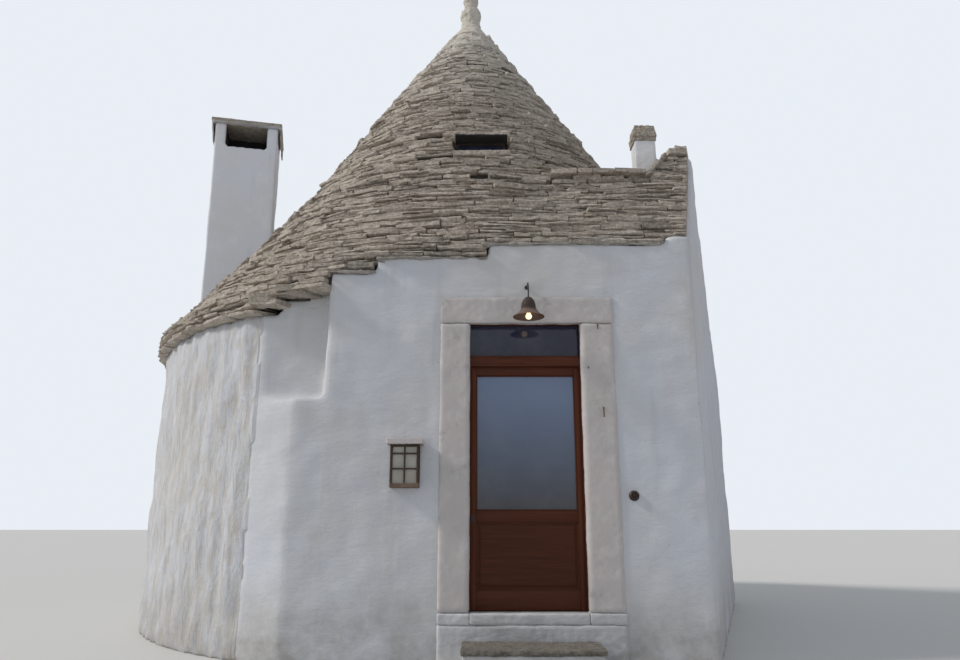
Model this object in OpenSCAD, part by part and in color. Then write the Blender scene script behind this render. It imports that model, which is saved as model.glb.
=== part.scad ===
// Trullo house: a round dry-stone room under a corbelled cone, with a flat front, a door and two chimneys.
// Millimetres, +Z up. The origin is on the cone's axis at ground level, and the front faces -Y.

/* [Round room] */
// Inner radius of the round room
room_r = 2300; // [2200:10:2350]
// Thickness of the round wall
wall_t = 1340; // [1300:10:1380]
// Height of the room's floor above the ground
floor_h = 380; // [340:10:420]
// Height of the walls above the ground, where the roof starts
wall_h = 2840; // [2800:10:2870]

/* [Front wall] */
// How deep the flat front is cut into the round wall
front_in = 290; // [260:10:320]
// Distance from the axis to the front wall's left corner
front_left = 1175; // [1100:5:1250]
// Distance from the axis to the party wall on the right, at the front wall's face
party_x = 1985; // [1950:5:2020]
// Turn of the party wall away from the front's right angle
party_turn = 20; // [18:0.5:22]
// Thickness of the party wall where it closes the roof
gable_t = 120; // [100:5:150]
// Distance from the axis to the back of the thick front mass
front_back = 1150; // [1100:10:1200]
// Thickness of the parapet that stands on the front wall
parapet_t = 450; // [400:10:500]
// Parapet heights above the wall, from left to right
parapet_h = [340, 470, 600, 680];
// Where the parapet steps up, along X
parapet_x = [-775, 200, 1780];
// How deep the flat beside the front wall's left corner is cut into the round wall
recess_in = 460; // [440:5:480]
// Width of the wall's shoulder beside that corner, where the eaves end
shoulder_w = 205; // [180:5:230]
// Height of the low wall that stands before the flat
low_wall_h = 2070; // [1800:10:2300]

/* [Roof] */
// How far the eaves stand out from the round wall
eave_out = 80; // [60:5:100]
// Height of the slabs at the eaves
eave_h = 110; // [90:5:120]
// Height of one course of roof stones
course_h = 95; // [90:1:98]
// Height above the ground where the roof's foot gives way to its middle
foot_z = 4177; // [4100:10:4250]
// How far the roof has come in from the eaves there
foot_in = 984; // [960:4:1010]
// Height above the ground where the straight upper stretch starts
knee_z = 5000; // [4950:10:5050]
// How far the roof has come in from the eaves there
knee_in = 1570; // [1540:5:1600]
// Outer radius of the cone at its top
tip_r = 180; // [170:5:190]
// Radial thickness of the corbelled vault
vault_t = 400; // [350:10:400]
// Height above the ground of the vault's flat closing slab
vault_z = 6900; // [6800:10:6950]
// Inner radius of the vault under its closing slab
vault_tip_r = 200; // [150:10:240]
// Rise of the side roof for each millimetre of depth
side_slope = 1.043; // [1.02:0.001:1.06]
// Thickness of the side roof's first course
side_edge = 60; // [50:5:80]
// Depth of the side roof from the front's face to its ridge, at the low end
side_ridge_in = 1061; // [1030:1:1090]
// Depth of the side roof from the front's face to its ridge, at the party wall
side_ridge_high_in = 1536; // [1500:1:1570]
// Depth of the side roof from the front's face to the end of its back slope
side_back_in = 2600; // [2560:10:2660]
// Start and end of the side roof's rising stretch along X
side_rise_x = [1890, 2250];
// Thickness and half depth of the flat slab on the ridge beside the party wall
ridge_slab = [55, 150];

/* [Finial] */
// Radius of the finial's neck
neck_r = 134; // [125:1:145]
// Height of the finial's neck
neck_h = 215; // [200:5:230]
// Radius of the finial's bulge
bulge_r = 150; // [145:1:165]
// Height of the finial's bulge
bulge_h = 155; // [140:5:170]
// Radius of the dark stem under the ball
stem_r = 94; // [85:1:100]
// Height of that stem
stem_h = 110; // [90:5:130]
// Radius of the ball on top
ball_r = 112; // [105:1:120]

/* [Roof window] */
// Centre of the roof window along X
slot_x = 150; // [100:10:200]
// Width of the roof window
slot_w = 540; // [500:10:560]
// Height of the roof window
slot_h = 220; // [200:5:230]
// Height of its centre above the ground
slot_z = 5060; // [5040:5:5080]
// Thickness of the slabs above and below it
slot_slab = 60; // [50:2:70]
// Width of the bars of its frame
slot_bar = 28; // [20:1:34]

/* [Doorway] */
// Centre of the doorway along X
door_x = 520; // [510:5:530]
// Width of the doorway between its stone jambs
door_w = 940; // [900:10:960]
// Height of the lintel's underside above the ground
door_top = 2715; // [2680:5:2720]
// Width of each stone jamb
jamb_w = 250; // [220:5:270]
// Extra width of the right jamb
jamb_extra = 35; // [0:5:40]
// Height of the stone lintel
lintel_h = 225; // [200:5:240]
// Depth of the stone surround in front of the door frame
surround_d = 70; // [60:5:300]
// How far the surround stands out from the wall
surround_out = 15; // [10:1:20]
// Height of the plinth blocks and of the sill
plinth_h = 80; // [70:5:90]
// How far the plinth blocks stand out from the jambs
plinth_out = 10; // [5:1:15]
// How much the passage behind the jambs is wider on each side
passage_extra = 60; // [55:1:70]
// How much the passage behind the lintel is higher
passage_rise = 45; // [40:1:60]
// Depth of the entry step
step_d = 410; // [380:10:440]
// Width of the entry step's tread
step_w = 1050; // [1000:10:1090]
// Height of the entry step
step_h = 180; // [160:5:190]
// Thickness of the worn tread slab
tread_t = 36; // [30:2:50]
// How far the tread slab stands out over its riser
tread_out = 12; // [8:1:20]

/* [Door] */
// Depth of the door frame
frame_d = 80; // [76:1:100]
// Width of the frame's posts
frame_w = 55; // [50:1:58]
// Height of the transom bar's underside above the ground
transom_z = 2363; // [2340:1:2380]
// Height of the transom bar
transom_h = 80; // [70:1:90]
// Width and depth of the strip that the closed door rests near
stop = [12, 20];
// Gap round the door leaf
leaf_gap = 6; // [6:1:8]
// Gap under the door leaf
leaf_floor_gap = 8; // [8:1:12]
// Thickness of the door leaf
leaf_t = 44; // [40:1:46]
// Width of the leaf's stiles
stile_w = 51; // [46:1:60]
// Height of the leaf's bottom rail
bottom_rail = 152; // [130:1:170]
// Height of the wooden panel
panel_h = 519; // [480:1:540]
// Height of the leaf's middle rail
middle_rail = 94; // [80:1:110]
// Height of the leaf's top rail
top_rail = 81; // [70:1:90]
// Thickness of the panes in the door and above it
pane_t = 8; // [6:1:10]
// Thickness of the wooden panel's board
board_t = 16; // [14:1:18]
// Margin of the panel's raised field
field_margin = 45; // [35:1:55]
// Height of the raised field over the board
field_out = 6; // [4:1:8]

/* [Hinges and handle] */
// Radius of the hinge knuckles
knuckle_r = 7; // [6:0.5:7]
// Height of one knuckle
knuckle_h = 40; // [35:1:45]
// Radius of the hinge pins
pin_r = 3.9; // [3.5:0.1:4]
// Radial clearance of the pins
pin_gap = 0.1; // [0.05:0.01:0.1]
// Heights of the hinges above the floor
hinge_z = [180, 950, 1740];
// Width of a hinge plate
hinge_plate_w = 36; // [30:1:40]
// Thickness of a hinge plate
hinge_plate_t = 3; // [2:0.5:4]
// Height of the handle above the floor
handle_z = 740; // [700:10:800]
// How far the inner lever stands out from the leaf
lever_out = 45; // [38:1:48]
// Length of the lever
lever_l = 110; // [90:1:120]

/* [Lamp over the door] */
// Centre of the lamp along X
lamp_x = 540; // [520:5:560]
// Height of the bracket's arm above the ground
lamp_arm_z = 3030; // [3020:5:3050]
// Distance from the wall to the lamp's centre
lamp_out = 190; // [180:5:220]
// Radius of the bend in the bracket
lamp_bend = 70; // [60:1:80]
// Radius of the bracket's rod
lamp_rod_r = 6; // [5:0.5:8]
// Radius of the bracket's wall plate
lamp_plate_r = 18; // [15:1:25]
// Radius of the shade's rim
shade_r = 122; // [110:1:130]
// Height of the shade's rim above the ground
shade_z = 2714; // [2700:1:2730]
// Height of the shade
shade_h = 172; // [160:1:180]
// Height of the shade's flared skirt
skirt_h = 72; // [65:1:80]
// Radius of the shade's bell over the skirt
shade_bell_r = 62; // [56:1:68]
// Radius of the shade's flat top
shade_top_r = 20; // [18:1:24]
// Thickness of the shade's sheet
shade_t = 3; // [2:0.5:4]
// Radius of the bulb
bulb_r = 26; // [22:1:30]

/* [Wall lantern] */
// Centre of the wall lantern along X
lantern_x = -470; // [-490:5:-450]
// Height of the lantern's foot above the ground
lantern_z = 1329; // [1300:1:1400]
// Width, depth and height of the lantern
lantern_size = [232, 120, 342];
// Width of the lantern's posts and rails
lantern_bar = 19; // [16:1:24]
// Width of the thin bars that part its panes
lantern_cross = 12; // [10:1:16]
// Height of its bottom rail
lantern_foot = 34; // [28:1:38]
// Height of the narrow band of panes at the lantern's top
lantern_band = 60; // [50:1:70]
// Width, depth and height of the slab over the lantern
lantern_cap_size = [294, 155, 48];
// Thickness of the lantern's panes
lantern_pane = 4; // [3:1:5]

/* [Fittings on the wall] */
// Place of the round bell along X and Z
bell_at = [1378, 1270];
// Radius of the bell
bell_r = 41; // [36:1:46]
// How far the bell stands out from the wall
bell_out = 26; // [20:1:32]
// Places of the iron hooks along X and Z
hook_at = [[1136, 2690], [1046, 2320], [1158, 1980]];
// How far each hook stands out, and how far it drops or rises at its end
hook_shape = [[34, -40], [26, 0], [30, -80]];
// Radius of the hooks' rods
hook_r = 5; // [4:0.5:7]

/* [Left chimney] */
// How far the left chimney's centre stands in from the round wall's outer face
stack_in = 507; // [490:1:530]
// Its centre along Y
stack_y = 9; // [-30:1:50]
// Turn of the left chimney about Z
stack_turn = 13; // [12:0.5:14]
// Width and depth of the left chimney
stack_size = [833, 600];
// Height of the left chimney's walls above the ground
stack_h = 6392; // [6300:1:6450]
// Thickness of the chimney's walls
stack_t = 141; // [120:1:160]
// Depth of the flue below the mouths
flue_d = 900; // [600:50:1200]
// Height of the chimney's mouths, which reach up to the cap slab
mouth_h = 335; // [310:5:350]
// Thickness of the cap slab
stack_cap_t = 52; // [45:1:65]
// How far the cap slab stands out
stack_cap_out = 52; // [40:1:60]
// Thickness and height of the slates that hang beside the stack
slate = [20, 300];

/* [Right chimney] */
// Centre of the right chimney along X
pipe_x = 2095; // [2060:5:2130]
// Its depth from the front's face
pipe_in = 1900; // [1860:5:1940]
// Width of the right chimney
pipe_w = 238; // [230:2:250]
// Height of the pocket in the roof that holds the right chimney
pipe_foot = 3800; // [3780:10:3820]
// Height of the right chimney's shaft above the ground
pipe_h = 5440; // [5400:10:5520]
// Heights of the stones of its cap
pipe_cap_h = [50, 55, 45, 50];
// How far the stones of its cap stand out
pipe_cap_out = [14, 20, 10, 4];
// Width of the flue in it
pipe_flue = 110; // [100:5:120]

/* [Hidden] */
round_fn = 256;
small_fn = 48;
big = 20000;
drum_r = room_r + wall_t;
front_y = drum_r - front_in;
recess_y = drum_r - recess_in;
eave_r = drum_r + eave_out;
foot_r = eave_r - foot_in;
knee_r = eave_r - knee_in;
cone_z = wall_h + eave_h;
shoulder_h = eave_h + course_h;
courses = 54;
lower_courses = 17;
middle_courses = 18;
upper_courses = 13;
tip_z = cone_z + courses * course_h;
door_l = door_x - door_w / 2;
door_r = door_x + door_w / 2;
surround_l = door_l - jamb_w;
surround_r = door_r + jamb_w + jamb_extra;
surround_top = door_top + lintel_h;
passage_l = door_l - passage_extra;
passage_r = door_r + passage_extra;
passage_top = door_top + passage_rise;
passage_y = -front_y + surround_d;
leaf_l = passage_l + frame_w + leaf_gap;
leaf_r = passage_r - frame_w - leaf_gap;
leaf_y = passage_y + stop[1] + leaf_gap;
leaf_z = floor_h + leaf_floor_gap;
leaf_top = transom_z - leaf_gap;
panel_z = leaf_z + bottom_rail;
glass_z = panel_z + panel_h + middle_rail;
glass_top = leaf_top - top_rail;
pane_y = leaf_y + leaf_t / 2 - pane_t / 2;
hinge_x = leaf_r + leaf_gap / 2;
hinge_y = passage_y + frame_d + knuckle_r + 1;
side_eave_z = wall_h + parapet_h[2] + side_edge;
side_ridge_y = front_y - side_ridge_in;
side_ridge_high_y = front_y - side_ridge_high_in;
side_back_y = front_y - side_back_in;
stack_at = [stack_in - drum_r, stack_y];
pipe_at = [pipe_x, pipe_in - front_y];
lamp_y = -front_y - lamp_out;

limewash = "white";
stone = "#a9a298";
pale_stone = "#cfcac2";
timber = "#5a2a1a";
iron = "#3a2f2a";

// A box between two corners
module span(low, high) {
  translate(low) cube(high - low);
}

// Outer radius of the cone at a height
function cone_r(z) = lookup(z, [[cone_z, eave_r], [foot_z, foot_r], [knee_z, knee_r], [tip_z, tip_r]]);

// Height of the foot of a course
function course_z(k) = cone_z + k * course_h;

// Outline of the courses from first to last, each a vertical face and a flat tread
function course_points(first, last) = [
  for (k = [first:last], end = [0, 1])
    [cone_r(course_z(k) + course_h / 2), course_z(k + end)]
];

// The solid cone from one course to another
module course_cone(first, last) {
  rotate_extrude($fn = round_fn)
    polygon(concat([[0, course_z(first)]], course_points(first, last), [[0, course_z(last + 1)]]));
}

// The disc of slabs at the eaves
module eave_disc() {
  translate([0, 0, wall_h]) cylinder(h = eave_h, r = eave_r, $fn = round_fn);
}

// The corbelled vault, filled or hollow
module vault_body(hollow) {
  outer_tip = vault_tip_r + vault_t * 0.7;
  slab_z = vault_z + 150;
  rotate_extrude($fn = round_fn)
    polygon(concat(
      hollow ? [[room_r, wall_h]] : [[0, wall_h]],
      [[room_r + vault_t, wall_h], [outer_tip, slab_z], [0, slab_z]],
      hollow ? [[0, vault_z], [vault_tip_r, vault_z]] : []
    ));
}

// Plan of the round wall, with its flat beside the front wall
module drum_plan() {
  difference() {
    circle(r = drum_r, $fn = round_fn);
    circle(r = room_r, $fn = round_fn);
    translate([-big, -big]) square([big - front_left + 1, big - recess_y]);
    translate([-front_left, -big]) square([big, big - front_back]);
  }
}

// Everything beyond the party wall's face, or beyond a plane set in from it
module beyond_party(inset = 0) {
  translate([party_x, -front_y, -1])
    rotate(-party_turn)
      translate([-inset, -big / 2, 0]) cube(big);
}

// A quarter of the round wall, chosen by the signs of its X and Y
module drum_quarter(sx, sy) {
  color(limewash)
    difference() {
      linear_extrude(wall_h)
        intersection() {
          drum_plan();
          translate([sx < 0 ? -big : 0, sy < 0 ? -big : 0]) square(big);
        }
      beyond_party();
    }
}

// The front mass between two places along X, up to its parapet
module front_mass(x0, x1, z0) {
  difference() {
    union() {
      span([x0, -front_y, z0], [x1, -front_back, wall_h]);
      parapet(x0, x1);
    }
    cylinder(h = big, r = room_r, $fn = round_fn, center = true);
    surround_pocket();
    beyond_party();
  }
}

// The stepped parapet between two places along X
module parapet(x0, x1) {
  starts = concat([-front_left], parapet_x);
  ends = concat(parapet_x, [big]);
  for (i = [0:3]) {
    low = max(x0, starts[i]);
    high = min(x1, ends[i]);
    if (high > low) span([low, -front_y, wall_h], [high, -front_y + parapet_t, wall_h + parapet_h[i]]);
  }
}

// The wall's shoulder beside the front's left corner, where the eaves end
module shoulder() {
  span([-front_left - shoulder_w, -recess_y, wall_h], [-front_left, -front_y + parapet_t, wall_h + shoulder_h]);
}

// The room that the stone surround takes in the front wall
module surround_pocket() {
  span([surround_l, -front_y - 1, -1], [surround_r, passage_y, surround_top]);
}

// Footprint of the left chimney, through every height
module stack_footprint() {
  translate([stack_at[0], stack_at[1], -1])
    rotate(stack_turn)
      translate([-stack_size[0] / 2, -stack_size[1] / 2]) cube([stack_size[0], stack_size[1], big]);
}

// Room for the right chimney in the roof
module pipe_pocket() {
  translate([pipe_at[0] - pipe_w / 2, pipe_at[1] - pipe_w / 2, pipe_foot]) cube([pipe_w, pipe_w, big]);
}

// Everything that is cut out of the roof's stones
module roof_cuts() {
  span([-front_left, -big, 0], [big, -front_y, big]);
  span([-front_left - shoulder_w, -big, 0], [big, -recess_y, wall_h + shoulder_h]);
  parapet(-front_left, big);
  shoulder();
  beyond_party(gable_t);
  vault_body(false);
  stack_footprint();
  pipe_pocket();
  slot_opening();
  slot_slabs();
}

// The opening of the roof window, from the weather to the room
module slot_opening() {
  span([slot_x - slot_w / 2, -big, slot_z - slot_h / 2], [slot_x + slot_w / 2, -room_r / 4, slot_z + slot_h / 2]);
}

// The long slabs over and under the roof window
module slot_slabs() {
  side = slot_x - slot_w / 2 - 40;
  end = slot_x + slot_w / 2 + 40;
  top = slot_z + slot_h / 2;
  foot = slot_z - slot_h / 2;
  span([side, -cone_r(top) - 110, top], [end, -cone_r(top) + 150, top + slot_slab]);
  span([side, -cone_r(foot) - 60, foot - slot_slab], [end, -cone_r(foot) + 220, foot]);
}

// Cross-section of the side roof, with depth as X and height as Y, for a ridge at a given depth
module side_section(ridge) {
  ridge_z = side_eave_z + side_slope * (front_y - ridge);
  polygon([
    [-front_y, wall_h],
    [-front_y, side_eave_z],
    [-ridge, ridge_z],
    [-side_back_y, ridge_z - side_slope * (ridge - side_back_y)],
    [-side_back_y, wall_h]
  ]);
}

// A stretch of the side roof along X with one cross-section
module side_stretch(x0, x1, ridge) {
  translate([x0, 0, 0]) rotate([90, 0, 90]) linear_extrude(x1 - x0) side_section(ridge);
}

// The side roof with no end yet on the party side, with its flat ridge slab
module side_body() {
  ridge_z = side_eave_z + side_slope * side_ridge_high_in;
  difference() {
    union() {
      side_stretch(parapet_x[1], side_rise_x[0], side_ridge_y);
      hull() {
        side_stretch(side_rise_x[0] - 1, side_rise_x[0], side_ridge_y);
        side_stretch(side_rise_x[1], side_rise_x[1] + 1, side_ridge_high_y);
      }
      side_stretch(side_rise_x[1], front_y, side_ridge_high_y);
      span(
        [side_rise_x[1], -side_ridge_high_y - ridge_slab[1], ridge_z - ridge_slab[0]],
        [front_y, -side_ridge_high_y + ridge_slab[1], ridge_z]
      );
    }
    parapet(-front_left, big);
  }
}

module floor_slab() {
  color(pale_stone) {
    cylinder(h = floor_h, r = room_r, $fn = round_fn);
    difference() {
      span([passage_l, passage_y, 0], [passage_r, -room_r / 2, floor_h]);
      cylinder(h = big, r = room_r - 1, $fn = round_fn, center = true);
    }
  }
}

module front_wall_left() {
  color(limewash) {
    front_mass(-front_left, passage_l, 0);
    shoulder();
  }
}

module front_wall_right() {
  color(limewash) front_mass(passage_r, front_y, 0);
}

module front_wall_over_door() {
  color(limewash) front_mass(passage_l, passage_r, passage_top);
}

module low_wall() {
  color(limewash)
    linear_extrude(low_wall_h)
      intersection() {
        circle(r = drum_r, $fn = round_fn);
        translate([-big, -front_y]) square([big - front_left, front_y - recess_y]);
      }
}

// The party wall's plain upper part, which closes the roof's cut end
module party_gable() {
  color(limewash)
    difference() {
      intersection() {
        union() {
          eave_disc();
          course_cone(0, lower_courses - 1);
          side_body();
        }
        beyond_party(gable_t);
      }
      beyond_party();
      span([-front_left, -big, 0], [big, -front_y, big]);
      parapet(-front_left, big);
    }
}

module side_roof() {
  color(stone)
    difference() {
      side_body();
      eave_disc();
      course_cone(0, lower_courses + middle_courses - 1);
      beyond_party(gable_t);
      pipe_pocket();
    }
}

module inner_vault() {
  color(pale_stone)
    difference() {
      vault_body(true);
      slot_opening();
    }
}

module eave_course() {
  color(pale_stone)
    difference() {
      eave_disc();
      roof_cuts();
    }
}

module roof_lower() {
  color(stone)
    difference() {
      course_cone(0, lower_courses - 1);
      roof_cuts();
    }
}

module roof_middle() {
  first = lower_courses;
  color(stone)
    difference() {
      course_cone(first, first + middle_courses - 1);
      roof_cuts();
    }
}

module roof_upper() {
  first = lower_courses + middle_courses;
  color(stone)
    difference() {
      course_cone(first, first + upper_courses - 1);
      vault_body(false);
    }
}

// The mortared tip of the cone, smooth
module roof_cap() {
  foot = course_z(lower_courses + middle_courses + upper_courses);
  color(pale_stone)
    rotate_extrude($fn = round_fn)
      polygon([[0, foot], [cone_r(foot), foot], [tip_r, tip_z], [0, tip_z]]);
}

// Neck and bulge of the finial, one turned profile
module finial_collar() {
  lip = 30;
  color(pale_stone)
    translate([0, 0, tip_z])
      rotate_extrude($fn = 72)
        polygon([
          [0, 0], [tip_r - 15, 0], [neck_r + 6, neck_h / 3], [neck_r, neck_h * 0.7], [neck_r, neck_h],
          [bulge_r, neck_h + lip], [bulge_r, neck_h + bulge_h - lip],
          [stem_r + 20, neck_h + bulge_h], [0, neck_h + bulge_h]
        ]);
}

// Stem with two ridges, and the ball that stands on it
module finial_ball() {
  sunk = ball_r - sqrt(ball_r * ball_r - stem_r * stem_r);
  ridge = 6;
  color(iron)
    translate([0, 0, tip_z + neck_h + bulge_h]) {
      rotate_extrude($fn = 72)
        polygon([
          [0, 0], [stem_r + ridge, 0], [stem_r, stem_h * 0.25], [stem_r + ridge, stem_h * 0.5],
          [stem_r, stem_h * 0.75], [stem_r, stem_h], [0, stem_h]
        ]);
      translate([0, 0, stem_h + ball_r - sunk]) sphere(r = ball_r, $fn = 72);
    }
}

module roof_window_slabs() {
  color(stone) slot_slabs();
}

// Frame of the roof window, set back from the slabs' edges
module roof_window_frame() {
  y = -cone_r(slot_z + slot_h / 2) + 50;
  w = slot_w;
  color(iron)
    difference() {
      span([slot_x - w / 2, y, slot_z - slot_h / 2], [slot_x + w / 2, y + 40, slot_z + slot_h / 2]);
      span(
        [slot_x - w / 2 + slot_bar, y - 1, slot_z - slot_h / 2 + slot_bar],
        [slot_x + w / 2 - slot_bar, y + 41, slot_z + slot_h / 2 - slot_bar]
      );
    }
}

module roof_window_glass() {
  y = -cone_r(slot_z + slot_h / 2) + 66;
  color("lightsteelblue", 0.5)
    span(
      [slot_x - slot_w / 2 + slot_bar, y, slot_z - slot_h / 2 + slot_bar],
      [slot_x + slot_w / 2 - slot_bar, y + pane_t, slot_z + slot_h / 2 - slot_bar]
    );
}

// One stone of the surround, between two corners in X and Z, standing out a little more where asked
module surround_stone(x0, z0, x1, z1, out = 0) {
  color(pale_stone) span([x0, -front_y - surround_out - out, z0], [x1, passage_y, z1]);
}

module jamb_left() {
  surround_stone(surround_l, floor_h, door_l, door_top);
}

module jamb_right() {
  surround_stone(door_r, floor_h, surround_r, door_top);
}

module door_lintel() {
  surround_stone(surround_l, door_top, surround_r, surround_top);
}

module jamb_plinths() {
  surround_stone(surround_l, floor_h - plinth_h, door_l, floor_h, plinth_out);
  surround_stone(door_r, floor_h - plinth_h, surround_r, floor_h, plinth_out);
}

module door_sill() {
  surround_stone(door_l, floor_h - plinth_h, door_r, floor_h, plinth_out);
}

module base_block() {
  surround_stone(surround_l, 0, surround_r, floor_h - plinth_h, plinth_out);
}

module step_block() {
  front = -front_y - surround_out - plinth_out;
  color(limewash)
    span(
      [door_x - step_w / 2 + tread_out, front - step_d + tread_out, 0],
      [door_x + step_w / 2 - tread_out, front, step_h - tread_t]
    );
}

module step_tread() {
  front = -front_y - surround_out - plinth_out;
  color(stone)
    span([door_x - step_w / 2, front - step_d, step_h - tread_t], [door_x + step_w / 2, front, step_h]);
}

// Posts, head and transom of the door frame, with the stop strip on the weather side
module door_frame() {
  inner_l = passage_l + frame_w;
  inner_r = passage_r - frame_w;
  back = passage_y + frame_d;
  color(timber) {
    difference() {
      span([passage_l, passage_y, floor_h], [passage_r, back, passage_top]);
      span([inner_l, passage_y - 1, floor_h - 1], [inner_r, back + 1, transom_z]);
      span([inner_l, passage_y - 1, transom_z + transom_h], [inner_r, back + 1, door_top]);
    }
    for (x = [inner_l, inner_r - stop[0]])
      span([x, passage_y, floor_h], [x + stop[0], passage_y + stop[1], transom_z]);
    span([inner_l, passage_y, transom_z - stop[0]], [inner_r, passage_y + stop[1], transom_z]);
  }
}

module fanlight_glass() {
  color("lightsteelblue", 0.5)
    span(
      [passage_l + frame_w, pane_y, transom_z + transom_h],
      [passage_r - frame_w, pane_y + pane_t, door_top]
    );
}

module door_leaf() {
  color(timber)
    difference() {
      span([leaf_l, leaf_y, leaf_z], [leaf_r, leaf_y + leaf_t, leaf_top]);
      span([leaf_l + stile_w, leaf_y - 1, panel_z], [leaf_r - stile_w, leaf_y + leaf_t + 1, panel_z + panel_h]);
      span([leaf_l + stile_w, leaf_y - 1, glass_z], [leaf_r - stile_w, leaf_y + leaf_t + 1, glass_top]);
    }
}

module door_glass() {
  color("lightsteelblue", 0.5)
    span([leaf_l + stile_w, pane_y, glass_z], [leaf_r - stile_w, pane_y + pane_t, glass_top]);
}

// Board with a raised field on each face
module door_panel() {
  l = leaf_l + stile_w;
  r = leaf_r - stile_w;
  y = leaf_y + leaf_t / 2;
  m = field_margin;
  color(timber) {
    span([l, y - board_t / 2, panel_z], [r, y + board_t / 2, panel_z + panel_h]);
    span(
      [l + m, y - board_t / 2 - field_out, panel_z + m],
      [r - m, y + board_t / 2 + field_out, panel_z + panel_h - m]
    );
  }
}

// Lever inside, and a keyhole plate outside
module door_handle() {
  x = leaf_l + stile_w / 2;
  z = floor_h + handle_z;
  inside = leaf_y + leaf_t;
  plate = [34, 4, 190];
  rod = 8;
  color(iron) {
    span([x - plate[0] / 2, inside, z - plate[2] * 0.7], [x + plate[0] / 2, inside + plate[1], z + plate[2] * 0.3]);
    translate([x, inside + plate[1], z]) rotate([-90, 0, 0]) cylinder(h = lever_out - plate[1], r = rod, $fn = small_fn);
    translate([x - rod, inside + lever_out - rod, z]) rotate([0, 90, 0]) cylinder(h = lever_l, r = rod, $fn = small_fn);
    span([x - plate[0] / 2, leaf_y - plate[1], z - 60], [x + plate[0] / 2, leaf_y, z]);
  }
}

// Leaf side of the hinges: a bored knuckle, its arm and its plate
module hinge_leaf_plates() {
  inside = leaf_y + leaf_t;
  color(iron)
    for (z = hinge_z)
      translate([0, 0, floor_h + z])
        difference() {
          union() {
            translate([hinge_x, hinge_y, 0]) cylinder(h = knuckle_h, r = knuckle_r, $fn = small_fn);
            span([leaf_r - hinge_plate_w, inside, 0], [leaf_r, inside + hinge_plate_t, knuckle_h]);
            span([leaf_r - 2 * knuckle_r, inside, 0], [leaf_r, hinge_y, knuckle_h]);
          }
          translate([hinge_x, hinge_y, -1]) cylinder(h = knuckle_h + 2, r = pin_r + pin_gap, $fn = small_fn);
        }
}

// Frame side of the hinges: a knuckle with its pin pointing down, and its plate
module hinge_frame_plates() {
  back = passage_y + frame_d;
  edge = passage_r - frame_w;
  color(iron)
    for (z = hinge_z)
      translate([0, 0, floor_h + z + knuckle_h + 1]) {
        translate([hinge_x, hinge_y, 0]) cylinder(h = knuckle_h, r = knuckle_r, $fn = small_fn);
        translate([hinge_x, hinge_y, -knuckle_h]) cylinder(h = knuckle_h + 1, r = pin_r, $fn = small_fn);
        span([edge, back, 0], [edge + hinge_plate_w, back + hinge_plate_t, knuckle_h]);
        span([edge, back, 0], [edge + 2 * knuckle_r, hinge_y, knuckle_h]);
      }
}

// Wall plate, straight arm, quarter bend and drop
module lamp_bracket() {
  straight = lamp_out - lamp_bend;
  drop_z = lamp_arm_z - lamp_bend;
  top = shade_z + shade_h;
  color(iron) {
    translate([lamp_x, -front_y, lamp_arm_z]) rotate([90, 0, 0]) cylinder(h = 12, r = lamp_plate_r, $fn = small_fn);
    translate([lamp_x, -front_y, lamp_arm_z]) rotate([90, 0, 0]) cylinder(h = straight, r = lamp_rod_r, $fn = small_fn);
    translate([lamp_x, -front_y - straight, drop_z])
      rotate([90, 0, -90])
        rotate_extrude(angle = 90, $fn = 72) translate([lamp_bend, 0]) circle(r = lamp_rod_r, $fn = small_fn);
    translate([lamp_x, lamp_y, top]) cylinder(h = drop_z - top, r = lamp_rod_r, $fn = small_fn);
  }
}

// Flared skirt under a round bell, one turned sheet
module lamp_shade() {
  t = shade_t;
  b = shade_bell_r;
  outside = [[b, skirt_h], [b - 3, shade_h * 0.64], [b * 0.72, shade_h * 0.87], [shade_top_r, shade_h]];
  color(iron)
    translate([lamp_x, lamp_y, shade_z])
      rotate_extrude($fn = 72)
        polygon(concat(
          [[shade_r, 0], [shade_r, t]], outside, [[0, shade_h], [0, shade_h - t]],
          [for (i = [3:-1:0]) outside[i] - [t, i == 3 ? t : t / 2]]
        ));
}

// Bulb and its holder, hanging inside the shade
module lamp_bulb() {
  holder_r = shade_top_r - shade_t - 1;
  top = shade_z + shade_h - shade_t;
  centre = shade_z + 6;
  color("khaki")
    translate([lamp_x, lamp_y, 0]) {
      translate([0, 0, centre]) sphere(r = bulb_r, $fn = small_fn);
      translate([0, 0, centre]) cylinder(h = top - centre, r = holder_r, $fn = small_fn);
    }
}

// Bars of the lantern: an open box with a cross and a band at the top of its front
module lantern_frame() {
  w = lantern_size[0];
  d = lantern_size[1];
  h = lantern_size[2];
  b = lantern_bar;
  c = lantern_cross;
  f = lantern_foot;
  band = h - lantern_band - b;
  color(iron)
    translate([lantern_x - w / 2, -front_y - d, lantern_z]) {
      difference() {
        cube([w, d, h]);
        translate([b, -1, f]) cube([w - 2 * b, d + 2, h - f - b]);
        translate([-1, b, f]) cube([w + 2, d - 2 * b, h - f - b]);
      }
      translate([w / 2 - c / 2, 0, f]) cube([c, b, h - f - b]);
      translate([b, 0, band]) cube([w - 2 * b, b, c]);
      translate([b, 0, (f + band - c) / 2]) cube([w - 2 * b, b, c]);
    }
}

// Panes behind the bars, bent round three sides
module lantern_panes() {
  w = lantern_size[0];
  d = lantern_size[1];
  h = lantern_size[2];
  b = lantern_bar;
  p = lantern_pane;
  tall = h - lantern_foot - b;
  color("ivory", 0.6)
    translate([lantern_x - w / 2, -front_y - d, lantern_z + lantern_foot]) {
      translate([b, b, 0]) cube([w - 2 * b, p, tall]);
      translate([b - p, b, 0]) cube([p, d - 2 * b, tall]);
      translate([w - b, b, 0]) cube([p, d - 2 * b, tall]);
    }
}

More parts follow.
